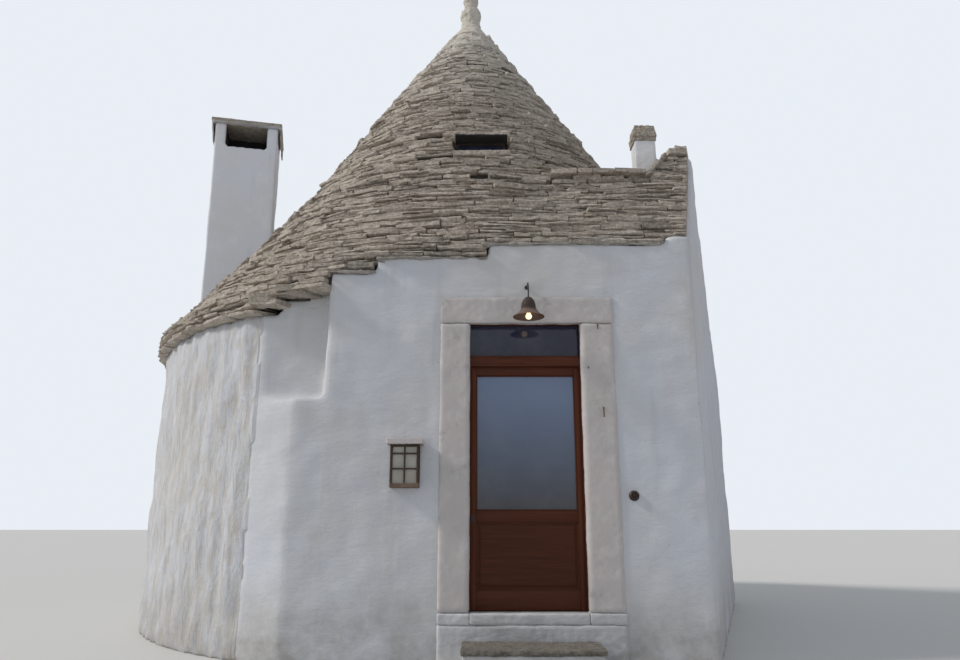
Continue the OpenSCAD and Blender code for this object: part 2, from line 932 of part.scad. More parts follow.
module lantern_cap() {
  s = lantern_cap_size;
  color(stone)
    translate([lantern_x - s[0] / 2, -front_y - s[1], lantern_z + lantern_size[2]]) cube(s);
}

// Round bell with a raised ring and a button
module round_bell() {
  color(iron)
    translate([bell_at[0], -front_y, bell_at[1]])
      rotate([90, 0, 0])
        rotate_extrude($fn = 72)
          polygon([
            [0, 0], [bell_r, 0], [bell_r, bell_out / 2], [bell_r * 0.75, bell_out],
            [bell_r * 0.6, bell_out], [bell_r * 0.55, bell_out * 0.7], [bell_r * 0.3, bell_out * 0.7],
            [bell_r * 0.2, bell_out], [0, bell_out]
          ]);
}

// Iron hooks driven into the right jamb
module wall_hooks() {
  face = -front_y - surround_out;
  color(iron)
    for (i = [0:len(hook_at) - 1])
      translate([hook_at[i][0], face, hook_at[i][1]]) {
        out = hook_shape[i][0];
        drop = hook_shape[i][1];
        rotate([90, 0, 0]) cylinder(h = out, r = hook_r, $fn = small_fn);
        if (drop != 0) translate([0, -out + hook_r, drop]) cylinder(h = -drop, r = hook_r, $fn = small_fn);
      }
}

// The left chimney's upright block, with its flue and the mouth in its front under the cap
module stack_block() {
  w = stack_size[0];
  d = stack_size[1];
  translate([stack_at[0], stack_at[1], 0])
    rotate(stack_turn)
      difference() {
        translate([-w / 2, -d / 2, 0]) cube([w, d, stack_h]);
        translate([-w / 2 + stack_t, -d / 2 + stack_t, stack_h - mouth_h - flue_d])
          cube([w - 2 * stack_t, d - 2 * stack_t, big]);
        translate([-w / 2 + stack_t, -d / 2 - 1, stack_h - mouth_h]) cube([w - 2 * stack_t, d / 2 + 1, big]);
      }
}

// The stack on the round wall's top, beside the vault
module chimney_left_stack() {
  color(limewash)
    difference() {
      stack_block();
      span([-big, -big, -1], [0, big, wall_h]);
      vault_body(false);
    }
}

// Cap slab with a slate that leans on the stack's outer side and one that hangs on the other side
module chimney_left_cap() {
  w = stack_size[0];
  d = stack_size[1];
  o = stack_cap_out;
  t = slate[0];
  color(stone)
    translate([stack_at[0], stack_at[1], stack_h])
      rotate(stack_turn) {
        translate([-w / 2 - o, -d / 2 - o, 0]) cube([w + 2 * o, d + 2 * o, stack_cap_t]);
        translate([0, d / 2, 0])
          rotate([90, 0, 0])
            linear_extrude(d) {
              polygon([[-w / 2 - o, 1], [-w / 2 - o + t, 1], [-w / 2, -slate[1]], [-w / 2 - t, -slate[1]]]);
              polygon([[w / 2 + o, 1], [w / 2 + o - t, 1], [w / 2 + o - t, -slate[1]], [w / 2 + o, -slate[1]]]);
            }
      }
}

module chimney_right_shaft() {
  flue = 500;
  color(limewash)
    translate([pipe_at[0], pipe_at[1], 0])
      difference() {
        translate([-pipe_w / 2, -pipe_w / 2, pipe_foot]) cube([pipe_w, pipe_w, pipe_h - pipe_foot]);
        translate([-pipe_flue / 2, -pipe_flue / 2, pipe_h - flue]) cube([pipe_flue, pipe_flue, flue + 1]);
      }
}

// Four courses of flat stones round the flue
module chimney_right_cap() {
  sums = [for (i = [0:3]) pipe_h + (i > 0 ? pipe_cap_h[0] : 0) + (i > 1 ? pipe_cap_h[1] : 0) + (i > 2 ? pipe_cap_h[2] : 0)];
  color(stone)
    translate([pipe_at[0], pipe_at[1], 0])
      difference() {
        for (i = [0:3]) {
          half = pipe_w / 2 + pipe_cap_out[i];
          translate([-half, -half, sums[i]]) cube([2 * half, 2 * half, pipe_cap_h[i]]);
        }
        translate([-pipe_flue / 2, -pipe_flue / 2, pipe_h - 1]) cube([pipe_flue, pipe_flue, big]);
      }
}

floor_slab();
drum_quarter(-1, -1);  // drum_wall_left
drum_quarter(-1, 1);  // drum_wall_back_left
drum_quarter(1, 1);  // drum_wall_back_right
drum_quarter(1, -1);  // drum_wall_right
front_wall_left();
front_wall_right();
front_wall_over_door();
low_wall();
party_gable();
side_roof();
inner_vault();
eave_course();
roof_lower();
roof_middle();
roof_upper();
roof_cap();
finial_collar();
finial_ball();
roof_window_slabs();
roof_window_frame();
roof_window_glass();
jamb_left();
jamb_right();
door_lintel();
jamb_plinths();
door_sill();
base_block();
step_block();
step_tread();
door_frame();
fanlight_glass();
door_leaf();
door_glass();
door_panel();
door_handle();
hinge_leaf_plates();
hinge_frame_plates();
lamp_bracket();
lamp_shade();
lamp_bulb();
lantern_frame();
lantern_panes();
lantern_cap();
round_bell();
wall_hooks();
chimney_left_stack();
chimney_left_cap();
chimney_right_shaft();
chimney_right_cap();
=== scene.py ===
import math
import random
from functools import partial
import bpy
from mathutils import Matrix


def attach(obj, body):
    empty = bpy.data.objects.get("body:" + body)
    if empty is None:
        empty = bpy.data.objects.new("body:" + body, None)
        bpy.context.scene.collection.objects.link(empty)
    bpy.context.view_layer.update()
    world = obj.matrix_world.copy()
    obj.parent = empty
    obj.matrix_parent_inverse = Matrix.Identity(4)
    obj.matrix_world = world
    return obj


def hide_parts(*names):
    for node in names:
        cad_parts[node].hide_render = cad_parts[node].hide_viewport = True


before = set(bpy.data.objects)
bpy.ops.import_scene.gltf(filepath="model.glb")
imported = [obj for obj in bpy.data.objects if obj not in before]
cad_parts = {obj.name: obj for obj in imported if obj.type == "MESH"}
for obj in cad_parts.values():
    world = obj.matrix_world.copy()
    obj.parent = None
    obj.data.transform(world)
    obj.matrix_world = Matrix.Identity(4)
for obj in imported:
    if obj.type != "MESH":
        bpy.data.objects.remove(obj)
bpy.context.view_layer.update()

from types import SimpleNamespace as Form

import bmesh
import bpy
from mathutils import Matrix, Vector, noise


# Small helpers for meshes and pieces

def asShare(value):
    return min(1.0, max(0.0, value))


def cadBmesh(*names):
    # merged copy of CAD nodes, in one bmesh
    bm = bmesh.new()
    for name in names:
        bm.from_mesh(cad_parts[name].data)
    bmesh.ops.remove_doubles(bm, verts=bm.verts, dist=0.0004)
    return bm


def flatBmesh(node):
    # a CAD node with its triangles joined to flat faces
    bm = cadBmesh(node)
    bmesh.ops.dissolve_limit(bm, angle_limit=0.01, verts=bm.verts, edges=bm.edges)
    return bm


def meshFrom(bm, name):
    mesh = bpy.data.meshes.new(name)
    bm.to_mesh(mesh)
    bm.free()
    return mesh


def linked(name, data):
    obj = bpy.data.objects.new(name, data)
    bpy.context.scene.collection.objects.link(obj)
    return obj


def pieceOf(mesh, name, materials, replaced=(), smoothAngle=None, body="root", slot=None):
    # a finished piece on its body, which hides the nodes that it replaces; the slot argument is not used
    obj = linked(name, mesh)
    for material in materials:
        mesh.materials.append(material)
    if smoothAngle is not None:
        mesh.polygons.foreach_set("use_smooth", [True] * len(mesh.polygons))
        mesh.set_sharp_from_angle(angle=math.radians(smoothAngle))
    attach(obj, body)
    if replaced:
        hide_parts(*replaced)
    return obj


def pieceFrom(bm, name, *form, **more):
    return pieceOf(meshFrom(bm, name), name, *form, **more)


def voxelMesh(bm, voxel, name):
    # one skin round touching solids, with softened edges
    obj = linked(name + "Rough", meshFrom(bm, name + "Rough"))
    remesh = obj.modifiers.new("skin", "REMESH")
    remesh.mode = "VOXEL"
    remesh.voxel_size = voxel
    graph = bpy.context.evaluated_depsgraph_get()
    result = bpy.data.meshes.new_from_object(obj.evaluated_get(graph))
    bpy.data.objects.remove(obj)
    return result


def unevenMesh(mesh, heights, scales, seed, weight=None):
    # moves each point along its normal by a coarse and a fine noise
    shift = Vector((seed, seed * 1.7, seed * 0.6))
    normals = [v.normal.copy() for v in mesh.vertices]
    for v, n in zip(mesh.vertices, normals):
        p = v.co + shift
        height = sum(most * noise.noise(p * scale) for most, scale in zip(heights, scales))
        v.co = v.co + n * height * (weight(v.co) if weight else 1.0)
    mesh.update()


def wornPiece(node, name, voxel, heights, scales, seed, material, smoothAngle=60):
    # a CAD node as worn stone, not under the ground
    mesh = voxelMesh(cadBmesh(node), voxel, name)
    unevenMesh(mesh, heights, scales, seed)
    for v in mesh.vertices:
        v.co.z = max(v.co.z, 0.0)
    return pieceOf(mesh, name, [material], (node,), smoothAngle)


def paintWhere(mesh, material, chosen):
    # a second material on the faces that are chosen by their middle and normal
    mesh.materials.append(material)
    for face in mesh.polygons:
        if chosen(face.center, face.normal):
            face.material_index = 1


def bevelEdges(bm, edges, width, segments):
    bmesh.ops.bevel(bm, geom=list(edges), offset=width, offset_type="OFFSET", affect="EDGES",
                    segments=segments, profile=0.5, material=-1, clamp_overlap=True)


def bevelSharp(bm, width, segments):
    bevelEdges(bm, [e for e in bm.edges if e.calc_face_angle(0) > 0.5], width, segments)


def addBlock(bm, low, high, bevel=0.0, material=0):
    low, high = Vector(low), Vector(high)
    verts = bmesh.ops.create_cube(bm, size=1.0)["verts"]
    bmesh.ops.scale(bm, vec=high - low, verts=verts)
    bmesh.ops.translate(bm, vec=(low + high) / 2, verts=verts)
    for face in {f for v in verts for f in v.link_faces}:
        face.material_index = material
    if bevel > 0:
        bevelEdges(bm, {e for v in verts for e in v.link_edges}, bevel, 2)


def cutBmesh(bm, point, normal, keepBoth=False):
    # cuts at a plane, and closes the cut where what lies beyond it goes
    bmesh.ops.bisect_plane(bm, geom=bm.verts[:] + bm.edges[:] + bm.faces[:], plane_co=point, plane_no=normal,
                           clear_outer=not keepBoth)
    if not keepBoth:
        bmesh.ops.holes_fill(bm, edges=[e for e in bm.edges if e.is_boundary])


def spun(points, centre, segments=48):
    # outline points (radius, height), turned about Z
    bm = bmesh.new()
    verts = [bm.verts.new((r, 0, z)) for r, z in points]
    edges = [bm.edges.new(pair) for pair in zip(verts, verts[1:])]
    bmesh.ops.spin(bm, geom=verts + edges, cent=(0, 0, 0), axis=(0, 0, 1), angle=math.tau,
                   steps=segments, use_merge=True)
    bmesh.ops.remove_doubles(bm, verts=bm.verts, dist=0.00005)
    bmesh.ops.recalc_face_normals(bm, faces=bm.faces)
    bmesh.ops.translate(bm, vec=centre, verts=bm.verts)
    return bm


# Materials

class Shade:
    # a short way to write node materials
    def __init__(self, name):
        self.material = bpy.data.materials.new(name)
        self.material.use_nodes = True
        self.tree = self.material.node_tree
        self.place = self.node("TexCoord", "Object")
        self.colour = None
        self.normal = None

    def put(self, value, socket):
        # value is another node's output, a number, a colour or a vector
        if isinstance(value, bpy.types.NodeSocket):
            self.tree.links.new(value, socket)
        elif isinstance(value, (int, float)):
            socket.default_value = value if socket.type == "VALUE" else (value, value, value, 1)
        else:
            socket.default_value = value if socket.type == "VECTOR" else (*value, 1)

    def fill(self, node, inputs):
        for key, value in inputs.items():
            self.put(value, node.inputs[key])

    def node(self, kind, output, inputs={}, **values):
        # an output of a new node
        made = self.tree.nodes.new("ShaderNode" + kind)
        for key, value in values.items():
            setattr(made, key, value)
        self.fill(made, inputs)
        return made.outputs[output]

    def mapped(self, scale):
        return self.node("Mapping", "Vector", {"Vector": self.place, "Scale": scale})

    def noise(self, scale, detail=4.0, roughness=0.55, vector=None, distortion=0.0):
        inputs = {"Vector": vector or self.place, "Scale": scale, "Detail": detail, "Roughness": roughness,
                  "Distortion": distortion}
        return self.node("TexNoise", "Fac", inputs)

    def cells(self, scale):
        return self.node("TexVoronoi", "Distance", {"Vector": self.place, "Scale": scale})

    def ramp(self, value, *stops):
        # stops are (position, grey or colour)
        colour = self.node("ValToRGB", "Color", {"Fac": value})
        items = colour.node.color_ramp.elements
        while len(items) < len(stops):
            items.new(0.5)
        for item, (position, tone) in zip(items, stops):
            item.position = position
            item.color = (tone, tone, tone, 1) if isinstance(tone, (int, float)) else (*tone, 1)
        return colour

    def blots(self, scale, detail, roughness, low, high, most=1.0):
        # 0 where the noise is under low, and the most where it is over high
        return self.ramp(self.noise(scale, detail, roughness), (low, 0.0), (high, most))

    def mix(self, factor, a, b):
        return self.node("Mix", 2, {"Factor": factor, 6: a, 7: b}, data_type="RGBA")

    def maths(self, operation, a, b):
        return self.node("Math", 0, {0: a, 1: b}, operation=operation)

    def times(self, a, b):
        return self.maths("MULTIPLY", a, b)

    def attribute(self, name):
        return self.node("Attribute", "Fac", attribute_name=name)

    def above(self, low, high, curve="SMOOTHSTEP"):
        # 0 up to the height low, 1 from the height high
        height = self.node("SeparateXYZ", "Z", {0: self.place})
        inputs = {"Value": height, "From Min": low, "From Max": high}
        return self.node("MapRange", "Result", inputs, interpolation_type=curve)

    def below(self, low, high):
        return self.maths("SUBTRACT", 1.0, self.above(low, high))

    def tint(self, factor, tone):
        # a tone over the colour so far
        self.colour = self.mix(factor, self.colour, tone)

    def bump(self, height, strength, distance):
        # a relief over the one so far
        inputs = {"Height": height, "Strength": strength, "Distance": distance}
        if self.normal:
            inputs["Normal"] = self.normal
        self.normal = self.node("Bump", "Normal", inputs)

    def finish(self, roughness, others={}):
        inputs = {"Base Color": self.colour, "Roughness": roughness, **others}
        if self.normal:
            inputs["Normal"] = self.normal
        self.fill(self.tree.nodes["Principled BSDF"], inputs)
        return self.material


def brightened(look, factor):
    return {key: [min(0.95, c * factor) for c in tint] for key, tint in look.items()}


limewashLook = {
    "cool": (0.625, 0.65, 0.71),
    "warm": (0.61, 0.605, 0.605),
    "bare": (0.54, 0.505, 0.46),
    "grime": (0.28, 0.265, 0.245),
    "chalk": (0.70, 0.725, 0.775),
}


def limewashMaterial(name, rough=1.0, fresh=1.0, roughPlaces=False):
    # fresh makes a newer, brighter coat
    s = Shade(name)
    look = brightened(limewashLook, fresh)
    s.colour = s.mix(s.blots(0.9, 3, 0.55, 0.35, 0.68), look["cool"], look["warm"])
    s.tint(s.blots(3.1, 6, 0.65, 0.52, 0.72, 0.6), look["chalk"])
    streaks = s.ramp(s.noise(1.0, 5, 0.6, s.mapped((5.0, 5.0, 0.7))), (0.55, 0.0), (0.8, 0.3))
    s.tint(streaks, look["grime"])
    splash = s.times(s.below(0.0, 0.7), s.blots(2.6, 6, 0.7, 0.34, 0.66, 0.75))
    s.tint(splash, look["grime"])
    pits = s.ramp(s.noise(26, 3, 0.6), (0.24, 1.0), (0.32, 0.0))
    s.tint(s.times(pits, 0.35), look["grime"])
    trowel = s.noise(1.0, 6, 0.62, s.mapped((3.5, 3.5, 8.0)))
    s.bump(trowel, 0.6 * rough, 0.018)
    s.bump(s.noise(24, 6, 0.7), 0.3 * rough, 0.006)
    s.bump(pits, -0.3, 0.004)
    if roughPlaces:
        # thick render combed down by hand, where the attribute says so
        place = s.attribute("rough")
        comb = s.noise(1.0, 7, 0.7, s.mapped((16, 16, 4.5)), 0.6)
        worn = s.ramp(comb, (0.40, 0.75), (0.56, 0.0))
        s.tint(s.times(place, worn), look["bare"])
        s.bump(s.times(place, comb), 0.9, 0.03)
    return s.finish(0.9)


stoneLook = {
    "soot": (0.036, 0.032, 0.029),
    "deep": (0.145, 0.12, 0.10),
    "body": (0.53, 0.46, 0.39),
    "light": (0.73, 0.655, 0.565),
    "pale": (0.82, 0.775, 0.705),
    "rose": (0.55, 0.45, 0.39),
    "lichen": (0.68, 0.665, 0.58),
    "moss": (0.29, 0.27, 0.18),
}


def roofStoneMaterial(name, tone=None, dim=1.0):
    # tone runs from 0, sooty, to 1, pale, and comes from each laid stone unless it is given
    s = Shade(name)
    look = brightened(stoneLook, dim)
    if tone is None:
        base = s.attribute("tone")
    else:
        base = s.maths("ADD", tone, s.times(s.maths("SUBTRACT", s.noise(2.3), 0.5), 0.5))
    s.colour = s.ramp(base, (0.0, look["soot"]), (0.14, look["deep"]), (0.42, look["body"]),
                      (0.7, look["light"]), (1.0, look["pale"]))
    s.tint(s.blots(1.6, 4, 0.55, 0.45, 0.7, 0.55), look["rose"])
    layers = s.noise(1.0, 7, 0.7, s.mapped((9, 9, 55)))
    grain = s.ramp(layers, (0.38, look["deep"]), (0.48, look["body"]), (0.60, look["pale"]))
    s.tint(0.5, grain)
    speckle = s.ramp(s.noise(34, 6, 0.75), (0.40, look["deep"]), (0.51, look["body"]), (0.62, look["pale"]))
    s.tint(0.40, speckle)
    sooty = s.times(s.blots(0.8, 7, 0.68, 0.55, 0.7, 0.75), s.blots(6.0, 6, 0.75, 0.44, 0.62))
    s.tint(sooty, look["soot"])
    s.tint(s.blots(1.3, 5, 0.6, 0.56, 0.74, 0.4), look["moss"])
    s.tint(s.blots(15.0, 7, 0.72, 0.6, 0.7, 0.6), look["lichen"])
    weathered = s.times(s.above(5.6, 7.9), 0.6)
    s.tint(weathered, look["pale"])
    s.bump(s.noise(13, 7, 0.7), 0.9, 0.036)
    s.bump(layers, 0.9, 0.02)
    s.bump(s.noise(60, 5, 0.75), 0.7, 0.010)
    return s.finish(0.93)


def jointShadeMaterial():
    # deep shade low on the roof, lime mortar at the tip
    s = Shade("roofJointShade")
    dark = s.ramp(s.noise(14, 5, 0.6), (0.3, (0.022, 0.020, 0.018)), (0.7, (0.085, 0.074, 0.062)))
    s.colour = s.mix(s.above(6.9, 7.6), dark, (0.30, 0.285, 0.26))
    s.bump(s.noise(30, 5, 0.7), 0.6, 0.02)
    return s.finish(1.0)


paleLook = {
    "rose": (0.575, 0.525, 0.525),
    "grey": (0.52, 0.50, 0.495),
    "light": (0.67, 0.65, 0.64),
    "stain": (0.24, 0.22, 0.205),
}


def paleStoneMaterial():
    s = Shade("paleStone")
    look = paleLook
    s.colour = s.mix(s.blots(2.2, 5, 0.6, 0.35, 0.65), look["rose"], look["grey"])
    s.tint(s.blots(7.5, 7, 0.7, 0.5, 0.7, 0.65), look["light"])
    s.tint(s.blots(5.0, 8, 0.72, 0.58, 0.72, 0.6), look["stain"])
    pits = s.ramp(s.cells(46), (0.05, 1.0), (0.14, 0.0))
    sparse = s.times(pits, s.blots(6.0, 3, 0.55, 0.48, 0.6))
    s.tint(s.times(sparse, 0.7), look["stain"])
    s.bump(s.noise(18, 7, 0.7), 0.3, 0.008)
    s.bump(sparse, -0.6, 0.005)
    return s.finish(0.85)


def mortarMaterial():
    s = Shade("mortar")
    s.colour = s.ramp(s.noise(9.0, 6, 0.7), (0.3, (0.21, 0.19, 0.17)), (0.68, (0.42, 0.395, 0.365)))
    s.bump(s.noise(40, 5, 0.7), 0.6, 0.01)
    return s.finish(0.95)


timberLook = {
    "dark": (0.022, 0.006, 0.002),
    "body": (0.070, 0.0205, 0.0095),
    "warm": (0.125, 0.042, 0.020),
}


def timberMaterial(name, along, bright=1.0):
    # along is the letter of the grain's direction
    s = Shade(name)
    look = brightened(timberLook, bright)
    scale = [1.4 if letter == along else 26 for letter in "XYZ"]
    grain = s.noise(1.6, 8, 0.62, s.mapped(scale), 0.6)
    s.colour = s.ramp(grain, (0.22, look["dark"]), (0.5, look["body"]), (0.8, look["warm"]))
    cloud = s.ramp(s.noise(1.7, 3), (0.3, 0.2), (0.7, 0.75))
    s.tint(cloud, look["body"])
    pores = s.noise(6.0, 3, 0.7, s.mapped([v * 2.2 for v in scale]))
    s.bump(grain, 0.14, 0.003)
    s.bump(pores, 0.1, 0.001)
    rough = s.ramp(pores, (0.3, 0.5), (0.7, 0.36))
    return s.finish(rough, {"Specular IOR Level": 0.14})


def reflectionPaneMaterial(name, low, high, lowZ, highZ, alpha):
    # glass with a painted reflection in its colour, going from the low to the high colour with height
    s = Shade(name)
    tint = s.mix(s.above(lowZ, highZ, "LINEAR"), low, high)
    s.colour = s.mix(s.blots(3.5, 5, 0.6, 0.45, 0.8, 0.12), tint, (0.35, 0.36, 0.37))
    s.bump(s.noise(1.4, 2), 0.05, 0.01)
    return s.finish(0.07, {"Specular IOR Level": 0.4, "Alpha": alpha})


def ironMaterial(name, dark, rust, amount, pale=None):
    # pale is (height where it is full, height where it ends, colour) of a lighter stretch
    s = Shade(name)
    patches = s.blots(16, 8, 0.7, 0.62 - 0.4 * amount, 0.72 - 0.2 * amount)
    s.colour = s.mix(patches, dark, rust)
    s.tint(s.blots(90, 4, 0.7, 0.4, 0.7, 0.6), [c * 0.45 for c in rust])
    if pale:
        low, high, tint = pale
        uneven = s.ramp(s.noise(30, 5, 0.7), (0.3, 0.55), (0.6, 1.0))
        s.tint(s.times(s.below(low, high), uneven), tint)
    rough = s.ramp(patches, (0.0, 0.5), (1.0, 0.88))
    s.bump(s.noise(70, 6, 0.75), 0.3, 0.002)
    return s.finish(rough, {"Metallic": 0.25})


def milkMaterial():
    s = Shade("milkPane")
    s.colour = s.ramp(s.noise(6, 5, 0.6), (0.3, (0.34, 0.32, 0.27)), (0.7, (0.46, 0.44, 0.39)))
    s.bump(s.noise(40, 3), 0.1, 0.002)
    return s.finish(0.3, {"Coat Weight": 0.4, "Coat Roughness": 0.1})


def bulbMaterial():
    s = Shade("litBulb")
    s.colour = s.ramp(s.noise(20, 2), (0.3, (0.9, 0.8, 0.6)), (0.7, (1.0, 0.9, 0.7)))
    return s.finish(0.15, {"Emission Color": (1.0, 0.72, 0.42), "Emission Strength": 1.6})


def sootAndShadeMaterial():
    # near black: soot and painted shade inside the chimney's flue, painted shade inside the roof window's
    # slot
    s = Shade("soot")
    s.colour = s.ramp(s.noise(5, 5), (0.3, (0.012, 0.012, 0.013)), (0.7, (0.026, 0.025, 0.025)))
    return s.finish(1.0)


limewash = limewashMaterial("limewash")
wallRender = limewashMaterial("wallRender", roughPlaces=True)
whitedStone = limewashMaterial("whitedStone", 1.4)
vaultStone = limewashMaterial("vaultStone", 2.2)
chimneyWash = limewashMaterial("chimneyWash", fresh=1.28)
roofStone = roofStoneMaterial("roofStone")
slabStone = roofStoneMaterial("slabStone", 0.62)
darkStone = roofStoneMaterial("darkStone", 0.16)
tipStone = roofStoneMaterial("tipStone", 0.72)
treadStone = roofStoneMaterial("treadStone", 0.4, 0.4)
roofJointShade = jointShadeMaterial()
paleStone = paleStoneMaterial()
mortar = mortarMaterial()
soot = sootAndShadeMaterial()
timberUp = timberMaterial("timberUp", "Z", 1.3)
timberAcross = timberMaterial("timberAcross", "X", 1.15)
timberPanel = timberMaterial("timberPanel", "X")
# the door's glass: painted reflection, dark low down and sky blue higher up
doorPane = reflectionPaneMaterial("doorPane", (0.065, 0.068, 0.078), (0.175, 0.235, 0.37), 1.2, 2.1, 0.94)
# the fanlight's and the roof window's glass: near black, painted shade of the dark room behind
highPane = reflectionPaneMaterial("highPane", (0.018, 0.020, 0.045), (0.022, 0.026, 0.060), 2.4, 2.7, 0.95)
darkIron = ironMaterial("darkIron", (0.02, 0.018, 0.017), (0.075, 0.04, 0.025), 0.35)
rustyIron = ironMaterial("rustyIron", (0.045, 0.034, 0.029), (0.16, 0.09, 0.062), 0.8)
lampIron = ironMaterial("lampIron", (0.020, 0.016, 0.014), (0.060, 0.038, 0.030), 0.6,
                        (2.755, 2.79, (0.175, 0.115, 0.090)))
lanternIron = ironMaterial("lanternIron", (0.028, 0.019, 0.015), (0.085, 0.050, 0.036), 0.7,
                           (1.355, 1.385, (0.17, 0.115, 0.085)))
milkPane = milkMaterial()
litBulb = bulbMaterial()


# The house's form in metres, as the CAD has it

eaveZ = 2.84
coneZ = 2.95
# height and radius of the cone
coneProfile = [(coneZ, 3.72), (4.177, 2.736), (5.0, 2.15), (8.08, 0.18)]
# the front's distance from the axis, its left end and its steps: x from, height
frontY = 3.35
frontLeft = -1.175
parapet = [(frontLeft, 3.18), (-0.775, 3.31), (0.20, 3.44), (1.78, 3.52)]
# what lies before this belongs to the front
frontZone = -2.9
# the recess beside the front, its stepped shoulders (x from, height) and where the round wall ends
recessY = -3.18
shoulders = [(-1.62, 2.98), (-1.38, 3.045)]
drumEndX = -1.80
# the side roof: height at the front, slope, reach along x, back, ridge depth at two places
sideEaveZ = 3.50
sideSlope = 1.043
sideStartX, sideEndX = 0.0, 3.0
sideBackY = -0.75
sideBlend = 0.10
ridgeX = (1.89, 2.25)
ridgeY = (2.289, 1.814)
# a point on the party wall's face, and the way out of it
partyTurn = math.radians(20)
partyPoint = Vector((1.985, -frontY, 0))
partyNormal = Vector((math.cos(partyTurn), -math.sin(partyTurn), 0))
# left chimney, right chimney, roof window
stackAt, stackTurn, stackHalf = (-3.133, 0.009), math.radians(13), (0.4165, 0.30)
stackWall, stackTop, stackLean = 0.141, 6.392, 0.012
pipeAt, pipeHalf = (2.095, -1.45), 0.119
slotX, slotHalf, slotLow, slotHigh = 0.15, 0.31, 4.89, 5.23


def pastParty(x, y):
    # how far a place lies beyond the party wall's face
    return (x - partyPoint.x) * partyNormal.x + (y - partyPoint.y) * partyNormal.y


def coneRadius(z):
    if z <= coneZ:
        return coneProfile[0][1]
    for (z0, r0), (z1, r1) in zip(coneProfile, coneProfile[1:]):
        if z <= z1:
            return r0 + (r1 - r0) * (z - z0) / (z1 - z0)
    return coneProfile[-1][1]


def ridgeDepth(x):
    share = asShare((x - ridgeX[0]) / (ridgeX[1] - ridgeX[0]))
    return ridgeY[0] + (ridgeY[1] - ridgeY[0]) * share


def ridgeHeight(x):
    return sideEaveZ + sideSlope * (frontY - ridgeDepth(x))


def parapetTop(x):
    tops = [z for start, z in parapet if x >= start]
    return tops[-1] if tops else parapet[0][1]


def wallTop(x, y):
    # top of the wall under the stones on the front and on the shoulders beside it
    if x > frontLeft - 0.02 and y < 0.27 - frontY:
        return parapetTop(x)
    tops = [z for start, z in shoulders if x > start and y < recessY + 0.1]
    return tops[-1] if tops else None


def contourPoint(angle, z):
    # outermost point of the roof at this height, in this direction from the axis
    cx, cy = math.cos(angle), math.sin(angle)
    reach = coneRadius(z)
    if cy < -0.2 and cx > -0.2:
        sideReach = (frontY - (z - sideEaveZ) / sideSlope) / -cy
        x = sideReach * cx
        if sideStartX < x <= sideEndX and z <= ridgeHeight(x) + 0.01 and sideReach > reach - sideBlend:
            gap = max(0.0, sideBlend - abs(sideReach - reach)) / sideBlend
            reach = max(reach, sideReach) + gap * gap * sideBlend * 0.25
    x, y = reach * cx, reach * cy
    flush = -frontY - 0.006
    if y < flush and x > frontLeft:
        y = flush
    return x, y


def valleyPoint(angle, z):
    # the cone's own face where it shows behind the side roof
    reach = coneRadius(z)
    x, y = reach * math.cos(angle), reach * math.sin(angle)
    outerX, outerY = contourPoint(angle, z)
    if math.hypot(outerX, outerY) < reach + 0.05 or x < 0.4 or y < -ridgeDepth(x):
        return None
    behind = ridgeHeight(x) - sideSlope * (y + ridgeDepth(x))
    return (x, y) if z > behind - 0.05 else None


def stackPlace(x, y):
    # a place in the left chimney's own directions
    dx, dy = x - stackAt[0], y - stackAt[1]
    c, s = math.cos(stackTurn), math.sin(stackTurn)
    return dx * c + dy * s, dy * c - dx * s


def leanStack(mesh):
    # the left chimney leans outward a little
    for v in mesh.vertices:
        v.co.x -= stackLean * max(0.0, v.co.z - coneZ)


def inStack(x, y, spare=0.02):
    across, along = stackPlace(x, y)
    return abs(across) < stackHalf[0] + spare and abs(along) < stackHalf[1] + spare


def inPipe(x, y, spare=0.02):
    reach = pipeHalf + spare
    return abs(x - pipeAt[0]) < reach and abs(y - pipeAt[1]) < reach


def inSlot(x, y, z, height):
    return y < 0 and abs(x - slotX) < slotHalf and z + height > slotLow and z < slotHigh


# Stones

stoneShape = Form(kinds=26, wobble=0.14, undercut=(0.12, 0.32), brow=(0.0, 0.05), lean=0.07,
                  chip=0.045, thinnest=0.014)


def stoneKind(seed):
    # one broken slab: length along X, weather face towards -Y, unit size
    rng = random.Random(seed)
    bm = bmesh.new()
    bmesh.ops.create_cube(bm, size=1.0)
    for axis, cuts in ((0, 4), (2, 2)):
        edges = [e for e in bm.edges if abs(e.verts[0].co[axis] - e.verts[1].co[axis]) > 0.5]
        bmesh.ops.subdivide_edges(bm, edges=edges, cuts=cuts, use_grid_fill=True)
    under = rng.uniform(*stoneShape.undercut)
    brow = rng.uniform(*stoneShape.brow)
    lean = rng.uniform(-stoneShape.lean, stoneShape.lean)
    wobble, chip = stoneShape.wobble, stoneShape.chip
    for v in bm.verts:
        x, y, z = v.co
        front = y < 0
        if front and z < -0.4:
            v.co.y += under * rng.uniform(0.4, 1.4)
        elif front and z > 0.4:
            v.co.y += brow * rng.uniform(0.2, 1.8)
        if front:
            v.co.y += lean * x + rng.uniform(-chip, chip)
        if front and abs(x) > 0.45:
            v.co.y += rng.uniform(0.0, 0.04)
            v.co.x *= rng.uniform(0.975, 1.0)
        v.co.z += rng.uniform(-wobble, wobble) * (1.0 if front else 0.3) * (1.0 if abs(z) > 0.4 else 0.6)
        v.co.x += rng.uniform(-wobble, wobble) * 0.3 * (1.0 if abs(x) < 0.45 else 0.2)
    bmesh.ops.recalc_face_normals(bm, faces=bm.faces)
    return meshFrom(bm, "stoneKind")


stoneKinds = [stoneKind(100 + i) for i in range(stoneShape.kinds)]


